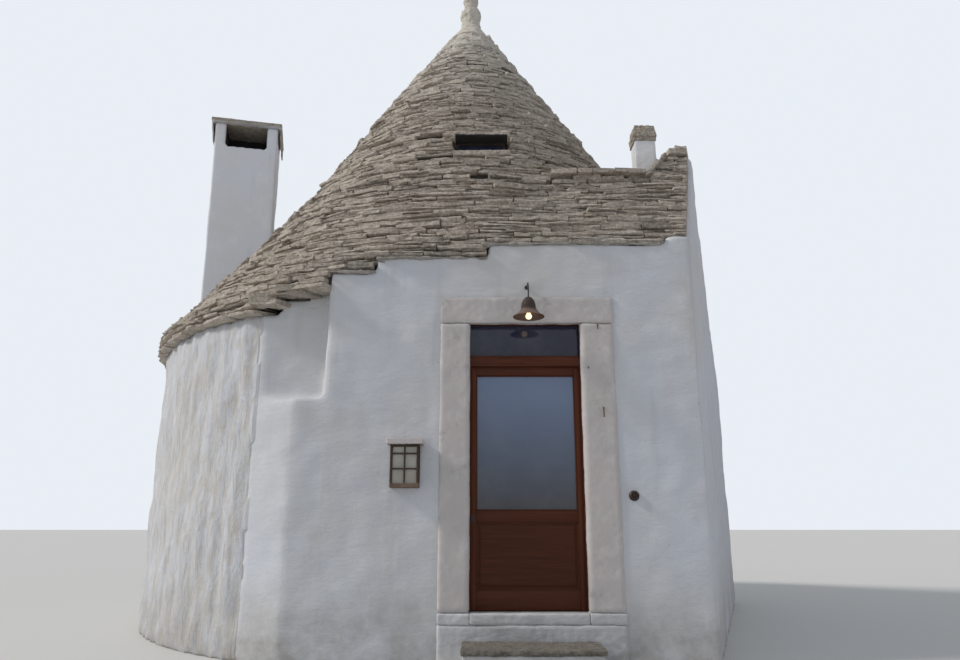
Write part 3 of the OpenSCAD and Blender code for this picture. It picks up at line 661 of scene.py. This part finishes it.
def cutAtParty(mesh, inset=0.03):
    # cuts a stone just behind the party wall's face
    sides = [pastParty(v.co.x, v.co.y) + inset for v in mesh.vertices]
    if max(sides) <= 0:
        return mesh
    if min(sides) > -0.03:
        bpy.data.meshes.remove(mesh)
        return None
    bm = bmesh.new()
    bm.from_mesh(mesh)
    cutBmesh(bm, partyPoint - partyNormal * inset, partyNormal)
    bmesh.ops.recalc_face_normals(bm, faces=bm.faces)
    bm.to_mesh(mesh)
    bm.free()
    return mesh


class StoneHeap:
    # the stones of one piece, with a tone for each
    def __init__(self):
        self.bm = bmesh.new()
        self.tones = []

    def add(self, mesh, tone):
        mesh = cutAtParty(mesh)
        if mesh:
            self.bm.from_mesh(mesh)
            self.tones += [tone] * len(mesh.vertices)
            bpy.data.meshes.remove(mesh)

    def piece(self, name, node):
        mesh = meshFrom(self.bm, name)
        mesh.attributes.new("tone", "FLOAT", "POINT").data.foreach_set("value", self.tones)
        pieceOf(mesh, name, [roofStone], (node,), 42)


# darker or paler places on the roof, two of them painted shade under overhanging stones: x, z, reach along x,
# reach up, tone
toneAndShadePatches = [
    (-0.97, 3.25, 0.20, 0.10, 0.03),
    # painted shade under the overhanging stones by the party wall
    (1.80, 3.60, 0.17, 0.10, 0.06),
    (1.30, 3.50, 0.33, 0.06, 0.95),
    (0.62, 3.62, 0.25, 0.05, 0.16),
    (0.20, 4.35, 0.14, 0.05, 0.10),
    (-0.10, 4.72, 0.16, 0.05, 0.14),
    (0.66, 4.70, 0.20, 0.05, 0.14),
    # painted shade under the overhanging stones by the left shoulder
    (-1.45, 3.16, 0.14, 0.06, 0.2),
]
toneForm = Form(middle=0.5, spread=0.21, sideRoof=-0.07, sootyShare=0.035, sooty=(0.05, 0.18))


def stoneTone(rng, place, z):
    tone = toneForm.middle + rng.gauss(0, toneForm.spread)
    if place.x > 1.1 and place.y < -1.5:
        tone += toneForm.sideRoof
    for x, patchZ, reachX, reachZ, patchTone in toneAndShadePatches:
        away = ((place.x - x) / reachX) ** 2 + ((z - patchZ) / reachZ) ** 2
        if place.y < 0 and away < 1:
            tone = patchTone + rng.uniform(0, 0.08)
    if rng.random() < toneForm.sootyShare:
        tone = rng.uniform(*toneForm.sooty)
    return asShare(tone)


def layStone(heap, rng, start, end, inward, depth, z, height, proud, tilt, tone):
    # start and end are the ends of its weather edge, inward points into the roof
    along = end - start
    length = along.length
    if length < 0.03:
        return
    middle = (start + end) / 2
    xAxis = along.normalized()
    yAxis = Vector((inward.x, inward.y, 0)).normalized()
    yAxis = (yAxis - xAxis * yAxis.dot(xAxis)).normalized()
    turn = Matrix((xAxis, yAxis, (0, 0, 1))).transposed().to_4x4()
    flip = -1 if rng.random() < 0.5 else 1
    roll = Matrix.Rotation(tilt + rng.gauss(0, 0.03), 4, "X")
    yaw = Matrix.Rotation(rng.gauss(0, 0.035), 4, "Z")
    pitch = Matrix.Rotation(rng.gauss(0, 0.022), 4, "Y")
    size = Matrix.Diagonal((flip * length, depth, height, 1))
    place = Matrix.Translation(Vector((middle.x, middle.y, z + height / 2)) + yAxis * (depth / 2 - proud))
    mesh = rng.choice(stoneKinds).copy()
    mesh.transform(place @ turn @ yaw @ pitch @ roll @ size)
    if flip < 0:
        mesh.flip_normals()
    heap.add(mesh, tone)


# rise is the share of its height by which a course lifts the next one
courseForm = {"height": 0.060, "depth": 0.24, "rise": 0.985, "shortest": 0.15, "longest": 0.56, "gap": 0.004,
              "tall": (0.74, 1.02), "proud": 0.018, "proudSpread": 0.014, "tilt": 0.06, "lift": 0.030,
              "split": 0.26, "splitTilt": 0.05, "lost": 0.008, "lostAbove": 3.6}
# degrees from point to point of a course, where the courses end, depth of a stone's bed on a wall
turnStep, coursesEnd, bedding = 0.4, 7.86, 0.004
# each heap of stones: its node and the height where it starts
heapForm = {
    "eave_slabs": ("eave_course", eaveZ),
    "stones_lower": ("roof_lower", coneZ),
    "stones_middle": ("roof_middle", 4.1),
    "stones_upper": ("roof_upper", 5.4),
}


def freeForStones(x, y, z, height):
    if pastParty(x, y) > 0.16 or inStack(x, y) or inPipe(x, y) or inSlot(x, y, z, height):
        return False
    if z < eaveZ + 0.03 and x > drumEndX and y < frontZone:
        return False
    top = wallTop(x, y)
    return top is None or z + height > top + stoneShape.thinnest


def runsAtHeight(z, height, pointAt):
    # stretches of the roof's edge line at this height that stones can follow
    runs, current, last = [], [], None
    for i in range(int(360 / turnStep) + 1):
        spot = pointAt(math.radians(90 + i * turnStep), z + height / 2)
        free = spot is not None and freeForStones(*spot, z, height)
        point = Vector((*spot, 0)) if spot else None
        broken = free and last is not None and (point - last).length > 0.12
        if not free or broken:
            runs.append(current)
            current = []
        if free:
            current.append(point)
        last = point if free else None
    runs.append(current)
    return [run for run in runs if len(run) > 1]


def walk(points, lengths):
    # points at the given distances along a line of points
    steps = [b - a for a, b in zip(points, points[1:])]
    result, travelled, i = [], 0.0, 0
    for wanted in lengths:
        while i < len(steps) - 1 and travelled + steps[i].length < wanted:
            travelled += steps[i].length
            i += 1
        result.append(points[i] + steps[i] * asShare((wanted - travelled) / max(steps[i].length, 1e-6)))
    return result


def wander(place, z, amount):
    # slow rise and fall of the courses
    slow = noise.noise(Vector((place.x * 0.9, place.y * 0.9, z * 0.35)))
    quickened = noise.noise(Vector((place.x * 2.3, place.y * 2.3, z * 1.0 + 7)))
    return amount * (slow + 0.6 * quickened)


def stoneEnds(rng, points, form, blunt):
    # where the stones of a run end, shorter ones where the roof is narrow
    total = sum((b - a).length for a, b in zip(points, points[1:]))
    if total < 0.05:
        return []
    shortest = form["shortest"] * blunt
    longest = min(form["longest"], 0.11 + max(0.3, points[0].length) * 0.21) * blunt
    marks, at = [0.0], 0.0
    while at < total:
        at += rng.triangular(shortest, longest, shortest * 1.8)
        marks.append(at)
    return walk(points, [m * (total / marks[-1]) for m in marks])


def fillRun(heap, rng, points, z, height, form, blunt=1.0, tone=None, outward=True):
    ends = stoneEnds(rng, points, form, blunt)
    for a, b in zip(ends, ends[1:]):
        side = (b - a).normalized()
        inward = Vector((-side.y, side.x, 0))
        middle = (a + b) / 2
        if (inward.dot(middle) > 0) == outward:
            inward = -inward
        foot = z + wander(middle, z, form["lift"])
        proud = form["proud"] + rng.gauss(0, form["proudSpread"])
        if rng.random() < form["lost"] and z > form["lostAbove"]:
            continue
        shrink = side * form["gap"] * rng.uniform(0.2, 1.0)
        lay = partial(layStone, heap, rng, a + shrink, b - shrink, inward, form["depth"])
        used = stoneTone(rng, middle, z) if tone is None else tone + rng.uniform(-0.1, 0.1)
        tall = height * rng.uniform(*form["tall"])
        top = wallTop(middle.x, middle.y)
        if top is not None and foot < top - bedding:
            # a thinner stone, bedded on the wall's top
            tall -= top - bedding - foot
            foot = top - bedding
            if tall < 0.010:
                continue
        if rng.random() < form["split"]:
            # two thin slabs in place of one
            low = tall * rng.uniform(0.38, 0.62)
            lay(foot, low, proud, form["splitTilt"], used)
            proud += rng.gauss(0, 0.012)
            lay(foot + low, tall - low, proud, form["splitTilt"], min(1, used + rng.uniform(-0.1, 0.1)))
        else:
            lay(foot, tall, proud, form["tilt"], used)


def endStone(heap, rng, z, height, tone):
    # closes a row where it ends beside a shoulder
    ends = [start for start, top in shoulders if z + height / 2 < top]
    if ends:
        left = ends[0]
        front = -math.sqrt(coneRadius(z + height / 2) ** 2 - left ** 2)
        layStone(heap, rng, Vector((left, front + 0.03, 0)), Vector((left, recessY, 0)), Vector((-1, 0, 0)),
                 0.26, z, height, 0.0, 0.03, tone)


def courseAt(z, first):
    # how the stones are laid at this height
    form = {**courseForm, "depth": min(courseForm["depth"], coneRadius(z) * 0.6)}
    if z < 4.05:
        # level on the front, then freer
        form.update(lift=0.006 + 0.024 * asShare((z - 3.45) / 0.6))
    if z > 7.0:
        form.update(proud=0.010, lift=0.010, split=0.1)
    if first:
        form.update(proud=0.030, depth=0.3)
    return form


def roofStones(heaps):
    rng = random.Random(7)
    thick = (coneZ - eaveZ) / 2
    eave = {**courseForm, "proud": 0.012, "depth": 0.36, "lift": 0.004, "split": 0.0}
    for z in (eaveZ, eaveZ + thick):
        for run in runsAtHeight(z, thick, contourPoint):
            fillRun(heaps["eave_slabs"], rng, run, z, thick, eave, 1.4, 0.62)
    endStone(heaps["eave_slabs"], rng, z, thick, 0.6)
    z = coneZ
    while z < coursesEnd:
        height = courseForm["height"] * rng.uniform(0.84, 1.2)
        heap = [heaps[name] for name, (_, start) in heapForm.items() if z >= start][-1]
        form = courseAt(z, z == coneZ)
        for pointAt in (contourPoint, valleyPoint):
            for run in runsAtHeight(z, height, pointAt):
                fillRun(heap, rng, run, z, height, form)
        endStone(heap, rng, z, height, rng.uniform(0.4, 0.7))
        z += height * courseForm["rise"]


backX, backZ, backStep = 0.6, 3.3, 0.04


def backSlopeStones(heap):
    # the side roof's far slope, down into the valley by the cone
    rng = random.Random(19)
    form = {**courseForm, "depth": 0.2, "lift": 0.0}
    z = backZ
    while z < ridgeHeight(sideEndX) - 0.03:
        height = courseForm["height"] * rng.uniform(0.9, 1.1)
        lines, x = [[]], backX
        while x < sideEndX:
            y = -ridgeDepth(x) + (ridgeHeight(x) - z) / sideSlope
            shown = z < ridgeHeight(x) - 0.02 and math.hypot(x, y) > coneRadius(z) - 0.03
            if shown and y < sideBackY and not inPipe(x, y) and pastParty(x, y) < 0.12:
                lines[-1].append(Vector((x, y, 0)))
            else:
                lines.append([])
            x += backStep
        for line in lines:
            if len(line) > 1:
                fillRun(heap, rng, line, z, height, form, outward=False)
        z += height * courseForm["rise"]


# slabs along the side roof's ridge, and the last ones beside the party wall
ridgeStart, ridgeEnd = 0.78, 2.75
ridgePlain = Form(thick=0.05, deep=0.16, lift=0.012)
ridgeLast = Form(thick=0.055, deep=0.30, lift=0.055)


def ridgeStones(heap):
    rng = random.Random(23)
    low, high = ridgeX
    x = ridgeStart
    while x < ridgeEnd:
        length = rng.uniform(0.22, 0.40) if x < low or x > high else 0.13
        mid = x + length / 2
        slope = (ridgeHeight(x + length) - ridgeHeight(x)) / length
        form = ridgeLast if x > high else ridgePlain
        mesh = rng.choice(stoneKinds).copy()
        top = ridgeHeight(mid) + form.lift
        place = Matrix.Translation((mid, -ridgeDepth(mid), top - form.thick / 2))
        turn = Matrix.Rotation(-math.atan(slope), 4, "Y")
        size = Matrix.Diagonal((length * math.hypot(1, slope) * 1.02, form.deep, form.thick, 1))
        mesh.transform(place @ turn @ size)
        heap.add(mesh, 0.93 if x > high else rng.uniform(0.3, 0.55))
        x += length


bedForm = Form(lift=0.04, recessX=-1.70, recessZ=3.0, skin=0.16, back=0.075, tipZ=6.8, tipBack=0.03,
               sideZ=3.2, sideDrop=0.10, sideBack=0.07)


def roofBeds():
    # the bed behind the stones, dark with painted deep shade, set back from the CAD's own faces
    form = bedForm
    for name, _ in heapForm.values():
        bm = cadBmesh(name)
        for v in bm.verts:
            if v.co.z < eaveZ + 0.01:
                v.co.z += form.lift
            if form.recessX < v.co.x < frontLeft and v.co.z < form.recessZ:
                v.co.y = max(v.co.y, recessY + 0.03)
            reach = math.hypot(v.co.x, v.co.y)
            if reach > coneRadius(v.co.z) - form.skin:
                back = form.back if v.co.z < form.tipZ else form.tipBack
                v.co.x *= 1 - back / reach
                v.co.y *= 1 - back / reach
        pieceFrom(bm, name + "_bed", [roofJointShade], (name,), slot="roof_stone")
    bm = cadBmesh("side_roof")
    for v in bm.verts:
        if v.co.z > form.sideZ:
            v.co.z -= form.sideDrop
        if v.co.y < 0.02 - frontY:
            v.co.y += form.sideBack
    pieceFrom(bm, "side_roof_bed", [roofJointShade], ("side_roof",))


def makeRoof():
    heaps = {name: StoneHeap() for name in heapForm}
    roofStones(heaps)
    backSlopeStones(heaps["stones_middle"])
    ridgeStones(heaps["stones_middle"])
    for name, (node, _) in heapForm.items():
        heaps[name].piece(name, node)
    roofBeds()


# mortar smeared over the joint on the parapet: bands (x from, x to, foot, height), patches (x, z, wide, high)
mortarBands = [(frontLeft, -0.775, 3.165, 0.025), (-0.775, 0.20, 3.295, 0.026), (0.20, 1.72, 3.425, 0.030)]
mortarPatches = [(1.22, 3.475, 0.24, 0.030), (0.80, 3.455, 0.14, 0.02), (0.18, 3.43, 0.05, 0.03)]
mortarFace, mortarThick = -3.366, 0.024


def makeMortar():
    bm = bmesh.new()
    for x0, x1, foot, height in mortarBands:
        addBlock(bm, (x0, mortarFace + 0.006, foot), (x1, mortarFace + mortarThick * 2, foot + height))
    for x, z, wide, high in mortarPatches:
        place = Matrix.Translation((x, mortarFace + mortarThick * 0.9, z))
        size = Matrix.Diagonal((wide, mortarThick, high, 1))
        bmesh.ops.create_icosphere(bm, subdivisions=3, radius=1.0, matrix=place @ size)
    mesh = voxelMesh(bm, 0.012, "parapet_mortar")
    unevenMesh(mesh, (0.016, 0.010), (7.0, 22.0), 9.0)
    pieceOf(mesh, "parapet_mortar", [mortar], smoothAngle=60, slot="pale_stone")


# Walls

wallForm = Form(voxel=0.038, still=0.08, rough=0.030)
# places on the front that stay flat, under what hangs there: x from, x to, z from, z to
flatPlaces = [(-0.2, 1.275, 0.0, 2.94), (1.32, 1.44, 1.21, 1.33), (-0.60, -0.34, 1.31, 1.73),
              (0.5, 0.58, 2.94, 3.06)]
# filling behind the doorway's stones, so that the skin closes round them: x from, x to, z from, z to
fillingY = (-3.342, -3.262)
fillings = [(-0.21, 0.03, 0.0, 2.95), (1.01, 1.285, 0.0, 2.95), (-0.21, 1.285, 2.735, 2.95),
            (-0.21, 1.285, 0.0, 0.36)]
frontNodes = ("front_wall_left", "front_wall_right", "front_wall_over_door", "low_wall", "party_gable",
              "drum_wall_left", "drum_wall_right")
backNodes = ("drum_wall_back_left", "drum_wall_back_right")
# the gable's top, above this height, makes way for its stones
gableZ, gableDrop = 2.9, 0.10


def wallWeight(p):
    # the ground edge and the places under the fittings stay where they are
    share = asShare((p.z - 0.03) / 0.10)
    if p.y < frontZone:
        for x0, x1, z0, z1 in flatPlaces:
            away = math.hypot(max(x0 - p.x, p.x - x1, 0.0), max(z0 - p.z, p.z - z1, 0.0))
            share = min(share, away / wallForm.still)
    return share


def roughShare(p):
    # the round wall's outside is combed, the flat faces are smooth
    if math.hypot(p.x, p.y) < 3.55 or (p.y < -3.08 and p.x > drumEndX):
        return 0.0
    return asShare(-pastParty(p.x, p.y) / 0.1)


def splitSkin(mesh, name, normal, nodes):
    # one closed half of the wall's skin
    bm = bmesh.new()
    bm.from_mesh(mesh)
    cutBmesh(bm, (0, 0, 0), normal)
    half = meshFrom(bm, name)
    places = half.attributes.new("rough", "FLOAT", "POINT")
    places.data.foreach_set("value", [roughShare(v.co) for v in half.vertices])
    pieceOf(half, name, [wallRender], nodes, 70)


def wallBlocks():
    # the CAD's walls, the fillings and the left shoulder
    bm = cadBmesh(*(n for n in frontNodes + backNodes if n != "party_gable"))
    gable = cadBmesh("party_gable")
    for v in gable.verts:
        if v.co.z > gableZ:
            v.co.z -= gableDrop
    lowered = meshFrom(gable, "loweredGable")
    bm.from_mesh(lowered)
    bpy.data.meshes.remove(lowered)
    for x0, x1, z0, z1 in fillings:
        addBlock(bm, (x0, fillingY[0], z0), (x1, fillingY[1], z1))
    # the left shoulder, up to the stones
    (start, top), (end, _) = shoulders
    addBlock(bm, (start, recessY, 2.7), (end + 0.02, -3.0, top))
    return bm


def makeWalls():
    mesh = voxelMesh(wallBlocks(), wallForm.voxel * (1.0), "walls")
    unevenMesh(mesh, (0.018, 0.007), (1.5, 6.0), 1.0, wallWeight)
    normals = [v.normal.copy() for v in mesh.vertices]
    for v, n in zip(mesh.vertices, normals):
        share = roughShare(v.co) * wallWeight(v.co)
        if share:
            comb = noise.noise(Vector((v.co.x * 8, v.co.y * 8, v.co.z * 2.2)))
            v.co = v.co + n * share * wallForm.rough * comb
        v.co.z = max(v.co.z, 0.0)
    splitSkin(mesh, "walls_front", (0, 1, 0), frontNodes)
    splitSkin(mesh, "walls_back", (0, -1, 0), backNodes)
    bpy.data.meshes.remove(mesh)


def inFlue(spot, normal):
    across, along = stackPlace(spot.x, spot.y)
    return abs(across) < stackHalf[0] - stackWall + 0.012 and -stackHalf[1] + 0.022 < along < 0.20


def makeChimneys():
    mesh = voxelMesh(cadBmesh("chimney_left_stack"), 0.026, "chimney_left_skin")
    unevenMesh(mesh, (0.012, 0.003), (1.8, 9.0), 4.0)
    mesh.materials.append(chimneyWash)
    # the flue's inside near black: soot and painted shade
    paintWhere(mesh, soot, inFlue)
    leanStack(mesh)
    pieceOf(mesh, "chimney_left_skin", [], ("chimney_left_stack",), 60)
    wornPiece("chimney_right_shaft", "chimney_right_skin", 0.018, (0.008, 0.003), (3.0, 14.0), 6.0,
              chimneyWash)


# Dressed stones, the tip and the chimneys' caps

# node, piece, voxel, height of the coarse and the fine noise, material. The row's number is its seed.
dressedStones = (
    ("jamb_left", "jamb_left_stone", 0.018, 0.004, 0.002, paleStone),
    ("jamb_right", "jamb_right_stone", 0.018, 0.004, 0.002, paleStone),
    ("door_lintel", "lintel_stone", 0.014, 0.005, 0.0025, paleStone),
    ("jamb_plinths", "plinth_stones", 0.012, 0.005, 0.003, whitedStone),
    ("door_sill", "sill_stone", 0.012, 0.004, 0.002, whitedStone),
    ("base_block", "base_stone", 0.016, 0.006, 0.003, whitedStone),
    ("step_block", "step_block_skin", 0.014, 0.006, 0.003, whitedStone),
    ("step_tread", "step_tread_worn", 0.009, 0.005, 0.004, treadStone),
    ("roof_window_slabs", "window_slabs_worn", 0.012, 0.010, 0.006, slabStone),
    ("chimney_left_cap", "chimney_left_cap_slab", 0.013, 0.004, 0.003, darkStone),
    ("chimney_right_cap", "chimney_right_cap_stones", 0.010, 0.012, 0.010, darkStone),
    ("lantern_cap", "lantern_cap_slab", 0.006, 0.003, 0.0015, paleStone),
)
# node, piece, voxel, height of the coarse and the fine noise, seed, material
tipPieces = (
    ("roof_cap", "roof_tip", 0.02, 0.014, 0.010, 3.0, tipStone),
    ("finial_collar", "finial_collar_worn", 0.009, 0.014, 0.008, 5.0, tipStone),
    ("finial_ball", "finial_ball_worn", 0.008, 0.010, 0.006, 8.0, darkStone),
)


def makeTip():
    for node, name, voxel, coarse, fine, seed, material in tipPieces:
        wornPiece(node, name, voxel, (coarse, fine), (8.0, 26.0), seed, material)


def darkenSlot(mesh):
    # deep shade inside the roof window's slabs
    def within(spot, normal):
        inside = abs(spot.x - slotX) < slotHalf - 0.025 and slotLow + 0.065 < spot.z < slotHigh - 0.04
        return inside and normal.z < 0.3
    paintWhere(mesh, soot, within)


def finishCap(mesh):
    # whitewashed under its overhang, its right slate broken short, leaning with the chimney
    def sheltered(spot, normal):
        return normal.z < -0.6 and spot.z > stackTop - 0.02 and not inStack(spot.x, spot.y, -0.03)
    paintWhere(mesh, limewash, sheltered)
    for v in mesh.vertices:
        across = stackPlace(v.co.x, v.co.y)[0]
        if across > stackHalf[0] - 0.03 and v.co.z < stackTop - 0.01:
            v.co.z = stackTop - (stackTop - v.co.z) * 0.62
    leanStack(mesh)


def shadeUnderside(mesh):
    # painted shade: the lantern cap's underside in dark stone
    paintWhere(mesh, darkStone, lambda spot, normal: normal.z < -0.6)


def makeDressedStones():
    finishes = {"roof_window_slabs": darkenSlot, "chimney_left_cap": finishCap,
                "lantern_cap": shadeUnderside}
    for seed, (node, name, voxel, coarse, fine, material) in enumerate(dressedStones, 1):
        obj = wornPiece(node, name, voxel, (coarse, fine), (6.0, 24.0), seed, material, 55)
        if node in finishes:
            finishes[node](obj.data)


# Door

doorForm = Form(left=0.051, right=0.989, front=-3.254, back=-3.21, low=0.388, high=2.357,
                stile=0.051, panelLow=0.540, panelHigh=1.059, glassLow=1.153, glassHigh=2.276,
                panelThick=0.016, bevel=0.0035, railBack=0.0006, bead=(0.011, 0.013),
                beadBack=0.004)
# the posts' inner edges, the transom's underside and top
frameForm = Form(left=0.046, right=0.994, transomLow=2.345, transomHigh=2.4435)


def addBeads(bm, left, right, low, high, y):
    # a thin moulding round an opening
    width, depth = doorForm.bead
    bevel = 0.004
    for x in (left, right - width):
        addBlock(bm, (x, y, low), (x + width, y + depth, high), bevel)
    for z in (low, high - width):
        addBlock(bm, (left + width, y, z), (right - width, y + depth, z + width), bevel, 1)


def makeDoorLeaf():
    d = doorForm
    bm = bmesh.new()
    left, right = d.left + d.stile, d.right - d.stile
    for x in (d.left, right):
        addBlock(bm, (x, d.front, d.low), (x + d.stile, d.back, d.high), d.bevel)
    front, back = d.front + d.railBack, d.back - d.railBack
    rails = ((d.low, d.panelLow), (d.panelHigh, d.glassLow), (d.glassHigh, d.high))
    for low, high in rails:
        addBlock(bm, (left, front, low), (right, back, high), d.bevel, 1)
    for low, high in ((d.panelLow, d.panelHigh), (d.glassLow, d.glassHigh)):
        for y in (d.front + d.beadBack, d.back - d.beadBack - d.bead[1]):
            addBeads(bm, left, right, low, high, y)
    pieceFrom(bm, "door_leaf_joined", [timberUp, timberAcross], ("door_leaf",), 35, "door")


def makeDoorPanel():
    d = doorForm
    middle, half = (d.front + d.back) / 2, d.panelThick / 2
    bm = bmesh.new()
    left, right = d.left + d.stile, d.right - d.stile
    addBlock(bm, (left, middle - half, d.panelLow), (right, middle + half, d.panelHigh))
    # the raised field and its sloping margin, on both faces
    for face in [f for f in bm.faces if abs(f.normal.y) > 0.9]:
        outward = face.normal.copy()
        for margin in (0.03, 0.028):
            bmesh.ops.inset_region(bm, faces=[face], thickness=margin, depth=0.0)
        bmesh.ops.translate(bm, vec=outward * 0.007, verts=face.verts)
    pieceFrom(bm, "door_panel_raised", [timberPanel], ("door_panel",), 15, "door")


def makeDoorFrame():
    f = frameForm
    bm = flatBmesh("door_frame")
    # the rails end at the posts
    for z in (f.transomLow, f.transomHigh):
        cutBmesh(bm, (0, 0, z), (0, 0, 1), True)
    for x in (f.left, f.right):
        cutBmesh(bm, (x, 0, 0), (1, 0, 0), True)
    bevelSharp(bm, 0.003, 2)
    for face in bm.faces:
        middle = face.calc_center_median()
        rail = middle.z > f.transomLow and f.left < middle.x < f.right
        face.material_index = 1 if rail else 0
    pieceFrom(bm, "door_frame_bevelled", [timberUp, timberAcross], ("door_frame",), 35)


# Lamp, lantern and fittings

lampPlace = (0.54, -3.54, 2.714)
# radius and height over the rim
lampOutside = [(0.131, 0.0), (0.1315, 0.003), (0.124, 0.008), (0.100, 0.022), (0.080, 0.044),
               (0.068, 0.062), (0.062, 0.074), (0.0605, 0.092), (0.058, 0.110), (0.052, 0.132),
               (0.044, 0.149), (0.032, 0.163), (0.020, 0.171), (0.0, 0.172)]
lampInside = [(0.0, 0.169), (0.019, 0.168), (0.030, 0.160), (0.041, 0.147), (0.049, 0.131), (0.055, 0.109),
              (0.0575, 0.091), (0.059, 0.073), (0.065, 0.059), (0.077, 0.041), (0.098, 0.018), (0.131, 0.0)]


def makeLamp():
    bm = spun(lampOutside + lampInside, lampPlace)
    pieceFrom(bm, "lamp_shade_bell", [lampIron], ("lamp_shade",), 50)


def makeLantern():
    bm = flatBmesh("lantern_frame")
    bevelSharp(bm, 0.002, 1)
    pieceFrom(bm, "lantern_bars", [lanternIron], ("lantern_frame",), 35)


def paintNodes():
    # CAD nodes that keep their shape
    painted = (
        (doorPane, "door_glass"),
        (highPane, "fanlight_glass", "roof_window_glass"),
        (darkIron, "lamp_bracket", "round_bell", "door_handle", "hinge_leaf_plates", "hinge_frame_plates",
         "roof_window_frame"),
        (rustyIron, "wall_hooks"),
        (litBulb, "lamp_bulb"),
        (milkPane, "lantern_panes"),
        (vaultStone, "inner_vault"),
        (paleStone, "floor_slab"),
    )
    for material, *nodes in painted:
        for node in nodes:
            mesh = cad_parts[node].data
            mesh.materials.clear()
            mesh.materials.append(material)


# Stage, light and camera

stageForm = Form(size=60, drop=0.002, colour=(0.62, 0.62, 0.61))
# colour and strength of the sky that lights, and of the one that the camera and reflections see
skyLight = ((0.80, 0.84, 0.90), 0.52)
skySeen = ((0.82, 0.86, 0.92), 1.0)
sunForm = Form(energy=2.1, angle=10, colour=(1.0, 0.955, 0.88), way=(0.80, 0.10, -0.62))
cameraForm = Form(place=(0.135, -9.35, 1.10), pitch=14.5, lens=27.19, sensor=36, far=300)


def makeStage():
    bm = bmesh.new()
    bmesh.ops.create_grid(bm, x_segments=1, y_segments=1, size=stageForm.size)
    floor = linked("floor", meshFrom(bm, "floor"))
    paint = Shade("floorPaint")
    paint.colour = stageForm.colour
    floor.data.materials.append(paint.finish(0.9))
    floor.location.z = -stageForm.drop


def makeSky():
    world = bpy.data.worlds.new("sky")
    bpy.context.scene.world = world
    world.use_nodes = True
    nodes = world.node_tree.nodes
    lighting, seen = nodes["Background"], nodes.new("ShaderNodeBackground")
    for background, (colour, strength) in ((lighting, skyLight), (seen, skySeen)):
        background.inputs["Color"].default_value = (*colour, 1)
        background.inputs["Strength"].default_value = strength
    path = nodes.new("ShaderNodeLightPath")
    either = nodes.new("ShaderNodeMath")
    either.operation = "MAXIMUM"
    mixer = nodes.new("ShaderNodeMixShader")
    for source, target in (
        (path.outputs["Is Camera Ray"], either.inputs[0]),
        (path.outputs["Is Glossy Ray"], either.inputs[1]),
        (either.outputs[0], mixer.inputs["Fac"]),
        (lighting.outputs["Background"], mixer.inputs[1]),
        (seen.outputs["Background"], mixer.inputs[2]),
        (mixer.outputs["Shader"], nodes["World Output"].inputs["Surface"]),
    ):
        world.node_tree.links.new(source, target)


def makeLight():
    sun = bpy.data.lights.new("keyLight", "SUN")
    sun.energy = sunForm.energy
    sun.angle = math.radians(sunForm.angle)
    sun.color = sunForm.colour
    linked("keyLight", sun).rotation_euler = Vector(sunForm.way).to_track_quat("-Z", "Y").to_euler()


def makeCamera():
    data = bpy.data.cameras.new("camera")
    data.lens = cameraForm.lens
    data.sensor_width = cameraForm.sensor
    data.clip_end = cameraForm.far
    camera = linked("camera", data)
    camera.location = cameraForm.place
    camera.rotation_euler = (math.radians(90 + cameraForm.pitch), 0, 0)
    bpy.context.scene.camera = camera


bpy.context.scene.view_settings.view_transform = "Standard"
makeCamera()
makeStage()
makeSky()
makeLight()
makeWalls()
makeChimneys()
makeRoof()
makeMortar()
makeTip()
makeDressedStones()
makeDoorLeaf()
makeDoorPanel()
makeDoorFrame()
makeLamp()
makeLantern()
paintNodes()
